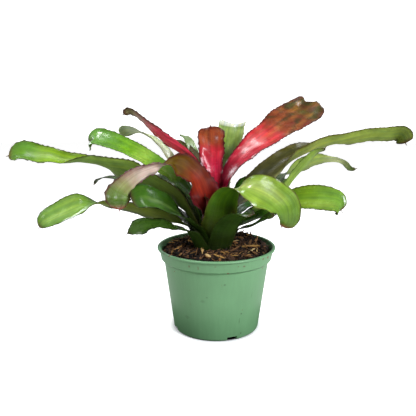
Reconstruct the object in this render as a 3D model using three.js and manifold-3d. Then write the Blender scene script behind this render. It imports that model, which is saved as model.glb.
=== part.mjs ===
// Neoregelia bromeliad standing in a tapered nursery pot.
// Millimetres, +Z up. The origin is on the pot's axis at its underside, and +X runs
// along the widest spread of the leaves. Every leaf is one thin closed blade that
// starts as a sheath wrapped round a short stem and follows its own route outwards.
import * as THREE from 'three';
import { mergeVertices } from 'three/addons/utils/BufferGeometryUtils.js';
import Module from 'manifold-3d';

const wasm = await Module();
wasm.setup();

// Pot
const POT_HEIGHT = 114;
const RIM_RADIUS = 80;
const BASE_RADIUS = 58.8;
const WALL = 2.4;
const LIP_HEIGHT = 3.2;
const EDGE_ROUND = 0.8;
const BAND_TOP_RADIUS = 77.4;
const BAND_LOW_RADIUS = 75;
const BAND_HEIGHT = 18;
const SHOULDER_RADIUS = 70.8;
const SHOULDER_DROP = 3.5;
const FLOOR_THICKNESS = 3;
const FLOOR_RISE = 3.5;
const CENTRE_PAD_RADIUS = 18;
const FOOT_RING_WIDTH = 6;
const CORNER_RADIUS = 3;
const POT_SIDES = 40;
const NOTCH_COUNT = 4;
const NOTCH_START = -70;
const NOTCH_WIDTH = 13;
const NOTCH_HEIGHT = 4.5;
const DRAIN_RADIUS = 5;
const DRAIN_CIRCLE = 35;
const DRAIN_SIDES = 16;

// Soil
const SOIL_GAP = 0.35;
const SOIL_LEVEL = 108.5;
const SOIL_RINGS = 7;
const SOIL_SIDES = 32;
const SOIL_SWELLS = [
  { x: 46, y: 44, rise: 6, spread: 26 },
  { x: 4, y: -66, rise: 3, spread: 30 },
  { x: -66, y: 10, rise: -2.5, spread: 30 },
];
const CRUMB_HEIGHT = 1.2;
const CRUMB_SIZE = 2.6;
const HOLE_FLOOR = 95;
const HOLE_GAP = 0.45;
const HOLE_SIDES = 40;
const CHIP_COUNT = 30;
const CHIP_SEED = 7;
const CHIP_TURN = 2.4;
const CHIP_NEAREST = 30;
const CHIP_FURTHEST = 62;
const CHIP_SHORTEST = 6;
const CHIP_LONGEST = 15;
const CHIP_WIDTH = 3.4;
const CHIP_DEPTH = 2.2;
const CHIP_TILT = 0.5;
const CHIP_STANDS = 0.4;

// Plant
const PLANT_X = -3;
const PLANT_Y = -2;
const STEM_RADIUS = 5;
const STEM_BOTTOM = HOLE_FLOOR + SOIL_GAP;
const STEM_TOP = 118;
const STEM_CONE = 6;
const STEM_EDGE = 1.5;
const STEM_SIDES = 20;
const SHEATH_FOOT = 98;
const SHEATH_COLLAR = 116;
const FOOT_RADIUS = 6;
const FOOT_STEP = 1.45;
const COLLAR_RADIUS = 8;
const COLLAR_STEP = 1.75;
const SHEATH_NECK = 140;
const NECK_RADIUS = 9.5;
const NECK_STEP = 2.9;
const SHEATH_RELEASE = 40;
const OUTER_RING = 11;

// Blade
const BLADE_THICKNESS = 0.9;
const BLADE_ROWS = 14;
const TIP_ROWS = [0.7, 0.4, 0.18, 0.05];
const BLADE_COLUMNS = 4;
const MUCRO_LENGTH = 3.5;
const MUCRO_HALF_WIDTH = 0.5;
const SPINE_RISE = 0.6;
const SPINE_START = 0.25;
const ARC_STEPS = 600;
const WELD = 1e-4;

const POT_GREEN = 0x6fa578;
const SOIL_BROWN = 0x3f2c20;
const STEM_BROWN = 0x4f4a2c;
const CRIMSON = 0xb5203c;
const OLIVE = 0x5b5a24;
const GREEN = 0x5f9a2c;
const PALE_GREEN = 0x8fae6a;
const DARK_GREEN = 0x355f1f;
const POT_ROUGHNESS = 0.45;
const SOIL_ROUGHNESS = 0.95;
const STEM_ROUGHNESS = 0.8;
const LEAF_ROUGHNESS = 0.35;

// Each leaf: its ring in the rosette (0 is the heart), heading in degrees from +X,
// half width, then hand-set lists. A route point is [outwards, up, drift to the left]
// from the plant's axis; the roll, fold and girth lists pair a share of the length
// with a value: roll is the turn about the blade's own line, fold the half angle of
// the channel, both in degrees, and girth a share of the half width.
const FULL_GIRTH = [[0, 1.1], [0.15, 1], [0.35, 0.78], [0.55, 0.88], [0.78, 1], [1, 0.94]];
const NECKED_GIRTH = [[0, 1.1], [0.12, 0.8], [0.3, 0.55], [0.5, 0.75], [0.75, 1], [1, 0.94]];

const LEAVES = [
  {
    name: 'leaf_upright_centre', ring: 0, heading: 98, width: 20, wrap: 38, square: 3, color: CRIMSON,
    route: [[11, 170], [14, 200], [20, 230], [28, 256], [32, 272]],
    roll: [[0, 0], [1, -4]],
    fold: [[0, 30], [0.6, 22], [1, 10]],
    girth: [[0, 0.5], [0.3, 0.56], [0.45, 0.82], [0.6, 0.95], [0.85, 1], [1, 0.95]],
  },
  {
    name: 'leaf_heart', ring: 0, heading: 318, width: 10, wrap: 60, square: 2, color: CRIMSON,
    route: [[10, 158], [12, 176]],
    roll: [[0, 0], [1, 0]],
    fold: [[0, 50], [1, 30]],
    girth: [[0, 1], [0.5, 1], [1, 0.8]],
  },
  {
    name: 'leaf_heart_left', ring: 0, heading: 212, width: 10, wrap: 44, square: 2, color: CRIMSON,
    route: [[10, 162], [12, 186]],
    roll: [[0, 0], [1, 0]],
    fold: [[0, 50], [1, 30]],
    girth: [[0, 1], [0.5, 1], [1, 0.8]],
  },
  {
    name: 'leaf_heart_front', ring: 1, heading: 270, width: 12, wrap: 50, square: 2, color: CRIMSON,
    route: [[15, 160], [18, 182]],
    roll: [[0, 0], [1, 0]],
    fold: [[0, 50], [1, 30]],
    girth: [[0, 1], [0.5, 1], [1, 0.8]],
  },
  {
    name: 'leaf_big_red', ring: 1, heading: 32, width: 33, wrap: 42, square: 2.6, color: CRIMSON,
    route: [[14, 170], [18, 197], [28, 216], [47, 234], [70, 251], [93, 264], [119, 277],
      [142, 287], [164, 297], [178, 303]],
    roll: [[0, 0], [0.35, 12], [0.6, 22], [1, 26]],
    fold: [[0, 30], [0.4, 26], [0.7, 14], [1, 10]],
    girth: [[0, 0.34], [0.3, 0.34], [0.5, 0.52], [0.66, 0.7], [0.82, 0.95], [1, 0.9]],
  },
  {
    name: 'leaf_red_left', ring: 1, heading: 150, width: 15, wrap: 44, square: 2.4, color: CRIMSON,
    route: [[14, 176, -6], [20, 206, -13], [36, 227, -10], [57, 241, -6], [77, 254, 1], [90, 266, 7],
      [102, 277, 12], [115, 288, 17], [124, 293, 20], [134, 289, 23]],
    roll: [[0, 0], [0.34, 12], [0.46, 55], [0.7, 65], [1, 45]],
    fold: [[0, 40], [0.5, 50], [1, 40]],
    girth: [[0, 0.6], [0.25, 0.35], [0.32, 0.42], [0.46, 0.84], [0.6, 0.95],
      [0.75, 0.72], [0.88, 0.5], [1, 0.42]],
  },
  {
    name: 'leaf_pale_back', ring: 2, heading: 72, width: 20, wrap: 44, square: 3.4, color: PALE_GREEN,
    route: [[20, 170], [34, 200], [52, 225], [70, 248], [83, 265], [94, 276], [106, 278]],
    roll: [[0, 0], [1, 6]],
    fold: [[0, 30], [0.7, 24], [0.9, 30], [1, 36]],
    girth: [[0, 0.6], [0.5, 0.7], [0.85, 1], [1, 0.98]],
  },
  {
    name: 'leaf_bent_front', ring: 2, heading: 190, width: 18, wrap: 44, square: 2.6, color: CRIMSON,
    release: 8,
    route: [[20, 168], [24, 190, 1], [31, 209, 2], [43, 222, 2], [58, 227, 4], [74, 223, 10],
      [90, 219, 17], [104, 213, 23], [118, 202, 27], [126, 189, 29], [128, 173, 29]],
    roll: [[0, 0], [0.28, 0], [0.42, -60], [0.55, -70], [0.62, 0], [0.69, 60], [1, 75]],
    fold: [[0, 30], [0.4, 14], [0.6, 10], [1, 16]],
    girth: [[0, 0.6], [0.22, 0.48], [0.38, 1.12], [0.52, 0.95], [0.6, 0.55],
      [0.7, 0.65], [0.86, 0.82], [1, 0.95]],
  },
  {
    name: 'leaf_upper_left', ring: 3, heading: 172, width: 20, wrap: 44, square: 3, color: GREEN,
    route: [[24, 162], [30, 177], [39, 189], [50, 200], [67, 213], [88, 227], [108, 238],
      [129, 247], [150, 255], [166, 258], [174, 250]],
    roll: [[0, 0], [0.22, -35], [0.4, -15], [0.7, -22], [1, -32]],
    fold: [[0, 30], [0.5, 34], [0.8, 26], [1, 14]],
    girth: [[0, 1.1], [0.12, 0.9], [0.25, 1], [0.4, 0.85], [0.55, 0.9], [0.78, 1], [1, 0.94]],
  },
  {
    name: 'leaf_far_right', ring: 3, heading: 8, width: 18, wrap: 44, square: 2.4, color: OLIVE,
    route: [[26, 168], [42, 189], [56, 203], [70, 215], [89, 227], [110, 237], [130, 245],
      [158, 252], [186, 256], [214, 259], [243, 260], [262, 261], [270, 252]],
    roll: [[0, 0], [0.25, 38], [0.4, 30], [0.52, 15], [0.66, -20], [0.78, -45], [1, -50]],
    fold: [[0, 30], [0.3, 40], [0.45, 55], [0.62, 55], [0.78, 30], [1, 20]],
    girth: [[0, 1.1], [0.12, 0.65], [0.2, 0.65], [0.34, 1.1], [0.45, 1.1], [0.7, 0.75], [1, 0.78]],
  },
  {
    name: 'leaf_dark_back_left', ring: 4, heading: 129, width: 14, wrap: 44, square: 2.2, color: OLIVE,
    route: [[31, 170], [45, 202], [62, 224], [82, 237], [104, 247], [124, 254]],
    roll: [[0, 0], [1, 10]],
    fold: [[0, 30], [0.6, 30], [1, 20]],
    girth: NECKED_GIRTH,
  },
  {
    name: 'leaf_curled_right', ring: 4, heading: 20, width: 19, wrap: 38, square: 2, color: PALE_GREEN,
    route: [[34, 163], [55, 181], [79, 195], [101, 206], [123, 214], [145, 220], [168, 224],
      [189, 223], [203, 218], [212, 211], [222, 213]],
    roll: [[0, 0], [0.25, 14], [0.36, 30], [0.48, 10], [0.65, -48], [1, -55]],
    fold: [[0, 30], [0.6, 20], [1, 30]],
    girth: [[0, 1], [0.15, 0.7], [0.24, 0.75], [0.36, 1], [0.5, 1], [0.75, 0.9], [0.9, 0.45], [1, 0.45]],
  },
  {
    name: 'leaf_grey_back_left', ring: 5, heading: 146, width: 14, wrap: 44, square: 2.4, color: PALE_GREEN,
    route: [[40, 176], [58, 207], [77, 231], [94, 246], [111, 256], [129, 262], [148, 264], [167, 260]],
    roll: [[0, 0], [0.5, 0], [0.75, 15], [1, 30]],
    fold: [[0, 30], [0.6, 30], [1, 20]],
    girth: NECKED_GIRTH,
  },
  {
    name: 'leaf_back_right', ring: 5, heading: 44, width: 17, wrap: 40, square: 2.6, color: GREEN,
    route: [[42, 160], [68, 177], [98, 187], [128, 190], [152, 184]],
    roll: [[0, 0], [1, -8]],
    fold: [[0, 30], [0.6, 25], [1, 10]],
    girth: FULL_GIRTH,
  },
  {
    name: 'leaf_broad_front', ring: 5, heading: 290, width: 22, wrap: 66, square: 2.8, color: GREEN,
    route: [[28, 160, 3], [32, 180, 4], [41, 195, 10], [54, 201, 22], [68, 198, 36], [82, 189, 48],
      [93, 178, 55], [97, 167, 54], [96, 158, 50]],
    roll: [[0, 0], [0.25, -15], [0.4, 0], [0.55, 30], [0.75, 45], [1, 40]],
    fold: [[0, 30], [0.3, 45], [0.5, 25], [0.75, 10], [1, 14]],
    girth: [[0, 1], [0.2, 1.35], [0.32, 1.2], [0.45, 0.95], [0.6, 1], [0.85, 1], [1, 0.8]],
  },
  {
    name: 'leaf_far_left', ring: 6, heading: 186, width: 22, wrap: 40, square: 2.4, color: OLIVE,
    route: [[36, 158], [53, 175], [75, 191], [98, 206], [123, 219], [149, 229], [173, 234],
      [198, 237], [222, 239], [246, 241], [260, 239]],
    roll: [[0, 0], [0.3, 45], [0.5, 60], [0.66, 15], [0.8, -32], [1, -42]],
    fold: [[0, 30], [0.4, 22], [0.55, 48], [0.68, 58], [0.8, 44], [0.9, 22], [1, 10]],
    girth: [[0, 1], [0.15, 1], [0.3, 1], [0.42, 0.85], [0.55, 0.84], [0.78, 0.66], [0.92, 0.84], [1, 0.82]],
  },
  {
    name: 'leaf_narrow_tip_back', ring: 6, heading: 112, width: 9, wrap: 28, square: 2, color: PALE_GREEN,
    route: [[46, 170], [62, 203], [77, 231], [95, 246], [113, 254], [130, 256]],
    roll: [[0, 0], [1, 10]],
    fold: [[0, 30], [0.6, 30], [1, 20]],
    girth: [[0, 1.4], [0.3, 1.1], [0.6, 0.9], [1, 0.8]],
  },
  {
    name: 'leaf_narrow_right', ring: 6, heading: 350, width: 17, wrap: 42, square: 1.8, color: GREEN,
    route: [[46, 156], [68, 171], [90, 186], [103, 202], [117, 219], [130, 235], [142, 248]],
    roll: [[0, 0], [0.5, -15], [1, -30]],
    fold: [[0, 30], [0.5, 50], [1, 50]],
    girth: [[0, 1.3], [0.3, 0.9], [0.5, 1], [0.8, 0.9], [1, 0.5]],
  },
  {
    name: 'leaf_front_left', ring: 7, heading: 208, width: 21, wrap: 46, square: 2.6, color: GREEN,
    route: [[44, 156], [64, 172], [84, 184], [102, 190], [118, 191]],
    roll: [[0, 0], [0.4, -20], [0.7, -32], [1, -40]],
    fold: [[0, 30], [0.5, 25], [1, 12]],
    girth: [[0, 1.1], [0.15, 1], [0.35, 0.95], [0.78, 1], [1, 0.94]],
  },
  {
    name: 'leaf_back_high', ring: 7, heading: 85, width: 17, wrap: 42, square: 2.6, color: GREEN,
    route: [[48, 162], [72, 182], [100, 194], [128, 198], [154, 194]],
    roll: [[0, 0], [1, 8]],
    fold: [[0, 30], [0.6, 25], [1, 10]],
    girth: FULL_GIRTH,
  },
  {
    name: 'leaf_right', ring: 7, heading: 352, width: 19, wrap: 44, square: 2.6, color: GREEN,
    route: [[50, 150], [68, 160], [90, 170], [113, 178], [138, 180], [156, 179], [166, 175], [170, 167]],
    roll: [[0, 0], [0.3, 5], [0.6, 30], [1, 45]],
    fold: [[0, 30], [0.3, 40], [0.6, 20], [1, 10]],
    girth: FULL_GIRTH,
  },
  {
    name: 'leaf_low_left', ring: 8, heading: 196, width: 17, wrap: 44, square: 2.4, color: GREEN,
    route: [[54, 150], [76, 160], [100, 169], [125, 176], [144, 179], [160, 180], [177, 178],
      [194, 172], [209, 166], [220, 160], [227, 152]],
    roll: [[0, 0], [0.35, 35], [0.6, 35], [0.78, -30], [1, -40]],
    fold: [[0, 30], [0.5, 24], [1, 10]],
    girth: [[0, 1.2], [0.3, 0.9], [0.6, 0.6], [0.8, 1], [1, 0.85]],
  },
  {
    name: 'leaf_back_far_right', ring: 8, heading: 58, width: 16, wrap: 40, square: 2.4, color: GREEN,
    route: [[50, 154], [74, 168], [102, 176], [130, 177], [150, 170]],
    roll: [[0, 0], [1, 6]],
    fold: [[0, 30], [0.6, 25], [1, 10]],
    girth: FULL_GIRTH,
  },
  {
    name: 'leaf_back_left', ring: 9, heading: 134, width: 16, wrap: 44, square: 2.4, color: GREEN,
    route: [[46, 156], [58, 176], [76, 191], [100, 200], [124, 202]],
    roll: [[0, 0], [0.4, -30], [1, -35]],
    fold: [[0, 30], [0.6, 25], [1, 10]],
    girth: FULL_GIRTH,
  },
  {
    name: 'leaf_low_right', ring: 9, heading: 330, width: 10, wrap: 40, square: 2.2, color: DARK_GREEN,
    route: [[54, 147], [66, 153.5], [78, 161], [88, 168]],
    roll: [[0, 0], [0.5, 10], [1, 20]],
    fold: [[0, 30], [0.6, 30], [1, 20]],
    girth: FULL_GIRTH,
  },
  {
    name: 'leaf_front_centre', ring: 10, heading: 291, width: 18, wrap: 42, square: 2.4, color: DARK_GREEN,
    route: [[46, 152, 2], [58, 165, 7], [69, 172, 14], [78, 175, 21]],
    roll: [[0, 0], [0.5, 10], [1, 20]],
    fold: [[0, 30], [0.5, 40], [1, 20]],
    girth: [[0, 1.05], [0.4, 1], [1, 0.9]],
  },
  {
    name: 'leaf_thin_left', ring: 10, heading: 148, width: 10, wrap: 42, square: 1.6, color: DARK_GREEN,
    route: [[66, 154], [100, 170], [136, 184], [170, 191], [200, 191], [224, 180]],
    roll: [[0, 0], [1, 0]],
    fold: [[0, 30], [0.6, 40], [1, 40]],
    girth: [[0, 2], [0.2, 1.2], [0.5, 1], [0.8, 0.7], [1, 0.3]],
  },
  {
    name: 'leaf_small_left', ring: 11, heading: 212, width: 14, wrap: 50, square: 1.8, color: DARK_GREEN,
    route: [[56, 145], [70, 151], [86, 155], [101, 155], [115, 151], [129, 146]],
    roll: [[0, 0], [0.4, 25], [0.6, -20], [1, -40]],
    fold: [[0, 30], [0.5, 30], [1, 12]],
    girth: [[0, 1.9], [0.25, 1.5], [0.5, 0.45], [0.68, 0.5], [0.85, 0.8], [1, 0.8]],
  },
  {
    name: 'leaf_back_low', ring: 11, heading: 80, width: 16, wrap: 44, square: 2.4, color: DARK_GREEN,
    route: [[62, 147], [88, 155], [114, 156], [138, 149]],
    roll: [[0, 0], [1, -6]],
    fold: [[0, 30], [0.6, 25], [1, 10]],
    girth: [[0, 1.5], [0.3, 1.1], [0.6, 1], [1, 0.9]],
  },
];

const radians = THREE.MathUtils.degToRad;

// A value read from a list of [share of length, value] pairs, eased between them.
function along(pairs, share) {
  let low = pairs[0];
  for (const high of pairs) {
    if (share <= high[0]) {
      const span = high[0] - low[0];
      const step = span > 0 ? (share - low[0]) / span : 0;
      return low[1] + (high[1] - low[1]) * step * step * (3 - 2 * step);
    }
    low = high;
  }
  return low[1];
}

// The line of the midrib, from the stem outwards.
function midrib(leaf) {
  const outward = new THREE.Vector3(Math.cos(radians(leaf.heading)), Math.sin(radians(leaf.heading)), 0);
  const leftward = new THREE.Vector3(-outward.y, outward.x, 0);
  const sheath = [
    [FOOT_RADIUS + FOOT_STEP * leaf.ring, SHEATH_FOOT],
    [COLLAR_RADIUS + COLLAR_STEP * leaf.ring, SHEATH_COLLAR],
    [NECK_RADIUS + NECK_STEP * leaf.ring, SHEATH_NECK],
  ];
  const points = [...sheath, ...leaf.route].map(([out, up, drift = 0]) =>
    new THREE.Vector3(PLANT_X, PLANT_Y, up).addScaledVector(outward, out).addScaledVector(leftward, drift));
  const curve = new THREE.CatmullRomCurve3(points);
  curve.arcLengthDivisions = ARC_STEPS;
  return { curve, outward, leftward, length: curve.getLength() };
}

// Shares of the length at which the blade gets a row of points, closer at the tip.
function rowShares(leaf, length) {
  const tip = leaf.width + MUCRO_LENGTH;
  const shares = [];
  for (let row = 0; row < BLADE_ROWS; row += 1) {
    shares.push((row / BLADE_ROWS) * (1 - tip / length));
  }
  shares.push(1 - tip / length);
  for (const part of TIP_ROWS) {
    shares.push(1 - (MUCRO_LENGTH + leaf.width * part) / length);
  }
  shares.push(1);
  return shares;
}

// Half width at a share of the length: girth, the spines' rise and fall, the rounded
// end, the mucro, and the sheath's limit of wrapping no further round the stem.
function halfWidth(leaf, share, length, row, reach) {
  const toTip = ((1 - share) * length - MUCRO_LENGTH) / leaf.width;
  if (toTip < 0) {
    return MUCRO_HALF_WIDTH;
  }
  let half = leaf.width * along(leaf.girth, share);
  if (share > SPINE_START && toTip > 1) {
    half += row % 2 ? SPINE_RISE : -SPINE_RISE;
  }
  if (toTip < 1) {
    half *= (1 - (1 - toTip) ** leaf.square) ** (1 / leaf.square);
  }
  return Math.max(MUCRO_HALF_WIDTH, Math.min(half, reach * radians(leaf.wrap)));
}

// One closed blade: an upper and a lower sheet of points, split into like triangles.
function bladeGeometry(leaf) {
  const { curve, outward, leftward, length } = midrib(leaf);
  const neck = NECK_RADIUS + NECK_STEP * leaf.ring;
  const upper = [];
  const lower = [];
  rowShares(leaf, length).forEach((share, row) => {
    const centre = curve.getPointAt(share);
    const tangent = curve.getTangentAt(share);
    const level = leftward.clone().addScaledVector(tangent, -leftward.dot(tangent)).normalize();
    const face = tangent.clone().cross(level);
    const reach = Math.hypot(centre.x - PLANT_X, centre.y - PLANT_Y);
    const freed = THREE.MathUtils.smoothstep(reach, neck, neck + (leaf.release ?? SHEATH_RELEASE));
    const roll = radians(along(leaf.roll, share)) * freed;
    const across = level.clone().multiplyScalar(Math.cos(roll)).addScaledVector(face, Math.sin(roll));
    const normal = face.clone().multiplyScalar(Math.cos(roll)).addScaledVector(level, -Math.sin(roll));
    const half = halfWidth(leaf, share, length, row, reach);
    const channel = radians(along(leaf.fold, share)) * Math.min(1, half / leaf.width);
    const fold = THREE.MathUtils.lerp(half / reach, channel, freed);
    const sag = outward.clone().multiplyScalar(freed - 1).addScaledVector(normal, freed).normalize();
    for (let column = 0; column <= BLADE_COLUMNS; column += 1) {
      const turn = fold * ((2 * column) / BLADE_COLUMNS - 1);
      const point = centre.clone()
        .addScaledVector(across, (half * Math.sin(turn)) / fold)
        .addScaledVector(sag, (half * (1 - Math.cos(turn))) / fold);
      const slant = across.clone().multiplyScalar(Math.cos(turn)).addScaledVector(sag, Math.sin(turn));
      const outOfFace = tangent.clone().cross(slant).normalize();
      upper.push(point.clone().addScaledVector(outOfFace, BLADE_THICKNESS / 2));
      lower.push(point.clone().addScaledVector(outOfFace, -BLADE_THICKNESS / 2));
    }
  });
  return sheetPair(upper, lower, BLADE_COLUMNS + 1);
}

// Joins two sheets with the same rows and columns into one closed skin.
function sheetPair(upper, lower, columns) {
  const rows = upper.length / columns;
  const offset = upper.length;
  const triangles = [];
  const quad = (a, b, c, d) => triangles.push(a, b, c, a, c, d);
  for (let row = 0; row < rows - 1; row += 1) {
    for (let column = 0; column < columns - 1; column += 1) {
      const a = row * columns + column;
      const b = a + columns;
      triangles.push(a, b, b + 1, a, b + 1, a + 1);
      triangles.push(offset + a, offset + b + 1, offset + b, offset + a, offset + a + 1, offset + b + 1);
    }
    const right = row * columns;
    const left = right + columns - 1;
    quad(right, offset + right, offset + right + columns, right + columns);
    quad(left, left + columns, offset + left + columns, offset + left);
  }
  const last = (rows - 1) * columns;
  for (let column = 0; column < columns - 1; column += 1) {
    quad(column, column + 1, offset + column + 1, offset + column);
    quad(last + column, offset + last + column, offset + last + column + 1, last + column + 1);
  }
  const geometry = new THREE.BufferGeometry();
  geometry.setAttribute('position', new THREE.Float32BufferAttribute(
    [...upper, ...lower].flatMap((point) => point.toArray()), 3));
  geometry.setIndex(triangles);
  return geometry;
}

function toSolid(geometry) {
  const bare = geometry.index ? geometry.toNonIndexed() : geometry.clone();
  bare.deleteAttribute('normal');
  bare.deleteAttribute('uv');
  const merged = mergeVertices(bare, WELD);
  return new wasm.Manifold(new wasm.Mesh({
    numProp: 3,
    vertProperties: new Float32Array(merged.attributes.position.array),
    triVerts: new Uint32Array(merged.index.array),
  }));
}

function toGeometry(solid) {
  const { vertProperties, triVerts } = solid.getMesh();
  const geometry = new THREE.BufferGeometry();
  geometry.setAttribute('position', new THREE.BufferAttribute(new Float32Array(vertProperties), 3));
  geometry.setIndex(new THREE.BufferAttribute(new Uint32Array(triVerts), 1));
  return geometry;
}

// A [radius, height] outline spun round the Z axis. It starts and ends on the axis.
function lathe(outline, sides) {
  const points = outline.map(([radius, height]) => new THREE.Vector2(radius, height));
  return new THREE.LatheGeometry(points, sides).rotateX(Math.PI / 2);
}

// Radius of the pot's inner wall at a height.
function innerRadius(height) {
  const band = POT_HEIGHT - BAND_HEIGHT;
  if (height >= band) {
    return BAND_LOW_RADIUS - WALL;
  }
  const rise = THREE.MathUtils.clamp(height / (band - SHOULDER_DROP), 0, 1);
  return THREE.MathUtils.lerp(BASE_RADIUS, SHOULDER_RADIUS, rise) - WALL;
}

function potGeometry() {
  const band = POT_HEIGHT - BAND_HEIGHT;
  const shoulder = band - SHOULDER_DROP;
  const lip = POT_HEIGHT - LIP_HEIGHT;
  const footInner = BASE_RADIUS - FOOT_RING_WIDTH;
  const floorTop = FLOOR_RISE + FLOOR_THICKNESS;
  const outline = [
    [0, 0],
    [CENTRE_PAD_RADIUS, 0],
    [CENTRE_PAD_RADIUS + FLOOR_RISE, FLOOR_RISE],
    [footInner - FLOOR_RISE / 2, FLOOR_RISE],
    [footInner, 0],
    [BASE_RADIUS - CORNER_RADIUS, 0],
    [BASE_RADIUS - CORNER_RADIUS / 3, CORNER_RADIUS / 3],
    [BASE_RADIUS, CORNER_RADIUS],
    [SHOULDER_RADIUS, shoulder],
    [BAND_LOW_RADIUS, band],
    [BAND_TOP_RADIUS, lip - EDGE_ROUND],
    [RIM_RADIUS - EDGE_ROUND, lip],
    [RIM_RADIUS, lip + LIP_HEIGHT / 2],
    [RIM_RADIUS - EDGE_ROUND, POT_HEIGHT - EDGE_ROUND / 2],
    [RIM_RADIUS - 2 * EDGE_ROUND, POT_HEIGHT],
    [RIM_RADIUS - 4 * EDGE_ROUND, POT_HEIGHT - EDGE_ROUND],
    [BAND_TOP_RADIUS - WALL, lip],
    [BAND_LOW_RADIUS - WALL, band],
    [innerRadius(shoulder), shoulder],
    [innerRadius(floorTop + WALL), floorTop + WALL],
    [innerRadius(floorTop) - WALL, floorTop],
    [0, floorTop],
  ];
  let pot = toSolid(lathe(outline, POT_SIDES));
  for (let index = 0; index < NOTCH_COUNT; index += 1) {
    const angle = radians(NOTCH_START + (360 / NOTCH_COUNT) * index);
    const notch = new THREE.BoxGeometry(4 * FOOT_RING_WIDTH, NOTCH_WIDTH, 2 * NOTCH_HEIGHT)
      .translate(BASE_RADIUS + FOOT_RING_WIDTH / 2, 0, 0).rotateZ(angle);
    const drain = new THREE.CylinderGeometry(DRAIN_RADIUS, DRAIN_RADIUS, 4 * floorTop, DRAIN_SIDES)
      .rotateX(Math.PI / 2).translate(DRAIN_CIRCLE, 0, 0).rotateZ(angle);
    pot = pot.subtract(toSolid(drain)).subtract(toSolid(notch));
  }
  return toGeometry(pot);
}

// Height of the soil's surface: banked up and dipped by the swells, with small crumbs.
function soilHeight(x, y) {
  let height = SOIL_LEVEL + CRUMB_HEIGHT * Math.sin(x / CRUMB_SIZE) * Math.cos(y / CRUMB_SIZE);
  for (const swell of SOIL_SWELLS) {
    const away = Math.hypot(x - swell.x, y - swell.y) / swell.spread;
    height += swell.rise * Math.exp(-away * away);
  }
  return height;
}

// Small repeatable generator of numbers from 0 to 1.
function seeded(seed) {
  let state = seed;
  return () => {
    state = (state * 16807) % 2147483647;
    return state / 2147483647;
  };
}

// The soil inside the pot, clear of its wall, with the surface shaped point by point.
function soilBody() {
  const floor = FLOOR_RISE + FLOOR_THICKNESS + SOIL_GAP;
  const band = POT_HEIGHT - BAND_HEIGHT;
  const shoulder = band - SHOULDER_DROP - SOIL_GAP;
  const edge = BAND_LOW_RADIUS - WALL - 2 * SOIL_GAP;
  const outline = [
    [0, floor],
    [innerRadius(floor) - WALL - 2 * SOIL_GAP, floor],
    [innerRadius(floor + WALL) - 2 * SOIL_GAP, floor + WALL],
    [innerRadius(shoulder) - 2 * SOIL_GAP, shoulder],
    [edge, band],
  ];
  for (let ring = 0; ring <= SOIL_RINGS; ring += 1) {
    outline.push([THREE.MathUtils.lerp(edge, 1, ring / SOIL_RINGS), SOIL_LEVEL]);
  }
  outline.push([0, SOIL_LEVEL]);
  const geometry = lathe(outline, SOIL_SIDES);
  const position = geometry.attributes.position;
  for (let index = 0; index < position.count; index += 1) {
    if (position.getZ(index) > band + 1) {
      position.setZ(index, soilHeight(position.getX(index), position.getY(index)));
    }
  }
  return toSolid(geometry);
}

function chipSolid(index, random) {
  const angle = index * CHIP_TURN;
  const radius = THREE.MathUtils.lerp(CHIP_NEAREST, CHIP_FURTHEST, Math.sqrt(random()));
  const x = radius * Math.cos(angle);
  const y = radius * Math.sin(angle);
  const length = THREE.MathUtils.lerp(CHIP_SHORTEST, CHIP_LONGEST, random());
  const chip = new THREE.BoxGeometry(length, CHIP_WIDTH, CHIP_DEPTH)
    .rotateY(CHIP_TILT * (random() - 0.5)).rotateZ(random() * Math.PI)
    .translate(x, y, soilHeight(x, y) + CHIP_STANDS);
  return toSolid(chip);
}

// Soil with bark chips on it and a flared hole for the stem and the sheaths.
function soilGeometry() {
  const spare = BLADE_THICKNESS / 2 + HOLE_GAP;
  const footRadius = FOOT_RADIUS + FOOT_STEP * OUTER_RING + spare;
  const collarRadius = COLLAR_RADIUS + COLLAR_STEP * OUTER_RING + spare;
  const hole = lathe([
    [0, HOLE_FLOOR],
    [footRadius, HOLE_FLOOR],
    [footRadius, SHEATH_FOOT],
    [collarRadius, SHEATH_COLLAR],
    [2 * collarRadius - footRadius, 2 * SHEATH_COLLAR - SHEATH_FOOT],
    [0, 2 * SHEATH_COLLAR - SHEATH_FOOT],
  ], HOLE_SIDES).translate(PLANT_X, PLANT_Y, 0);
  let soil = soilBody();
  const random = seeded(CHIP_SEED);
  for (let index = 0; index < CHIP_COUNT; index += 1) {
    soil = soil.add(chipSolid(index, random));
  }
  return toGeometry(soil.subtract(toSolid(hole)));
}

function stemGeometry() {
  return lathe([
    [0, STEM_BOTTOM],
    [STEM_RADIUS - STEM_EDGE, STEM_BOTTOM],
    [STEM_RADIUS, STEM_BOTTOM + STEM_EDGE],
    [STEM_RADIUS, STEM_TOP - STEM_CONE],
    [STEM_RADIUS / 2, STEM_TOP - STEM_EDGE],
    [0, STEM_TOP],
  ], STEM_SIDES).translate(PLANT_X, PLANT_Y, 0);
}

function addMesh(group, name, geometry, color, roughness) {
  const mesh = new THREE.Mesh(geometry, new THREE.MeshStandardMaterial({ color, roughness, metalness: 0 }));
  mesh.name = name;
  group.add(mesh);
}

const bromeliad = new THREE.Group();
bromeliad.name = 'potted_bromeliad';
addMesh(bromeliad, 'pot', potGeometry(), POT_GREEN, POT_ROUGHNESS);
addMesh(bromeliad, 'soil', soilGeometry(), SOIL_BROWN, SOIL_ROUGHNESS);
addMesh(bromeliad, 'stem', stemGeometry(), STEM_BROWN, STEM_ROUGHNESS);
for (const leaf of LEAVES) {
  addMesh(bromeliad, leaf.name, bladeGeometry(leaf), leaf.color, LEAF_ROUGHNESS);
}

export default bromeliad;
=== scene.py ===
# A neoregelia bromeliad in a tapered nursery pot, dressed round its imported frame.
# Lengths are in millimetres until a mesh is written, which is in metres.
import bisect
import math
import random

import bmesh
import bpy
from bpy.props import FloatProperty, FloatVectorProperty, IntProperty, PointerProperty
from mathutils import Euler, Matrix, Vector, noise


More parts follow.
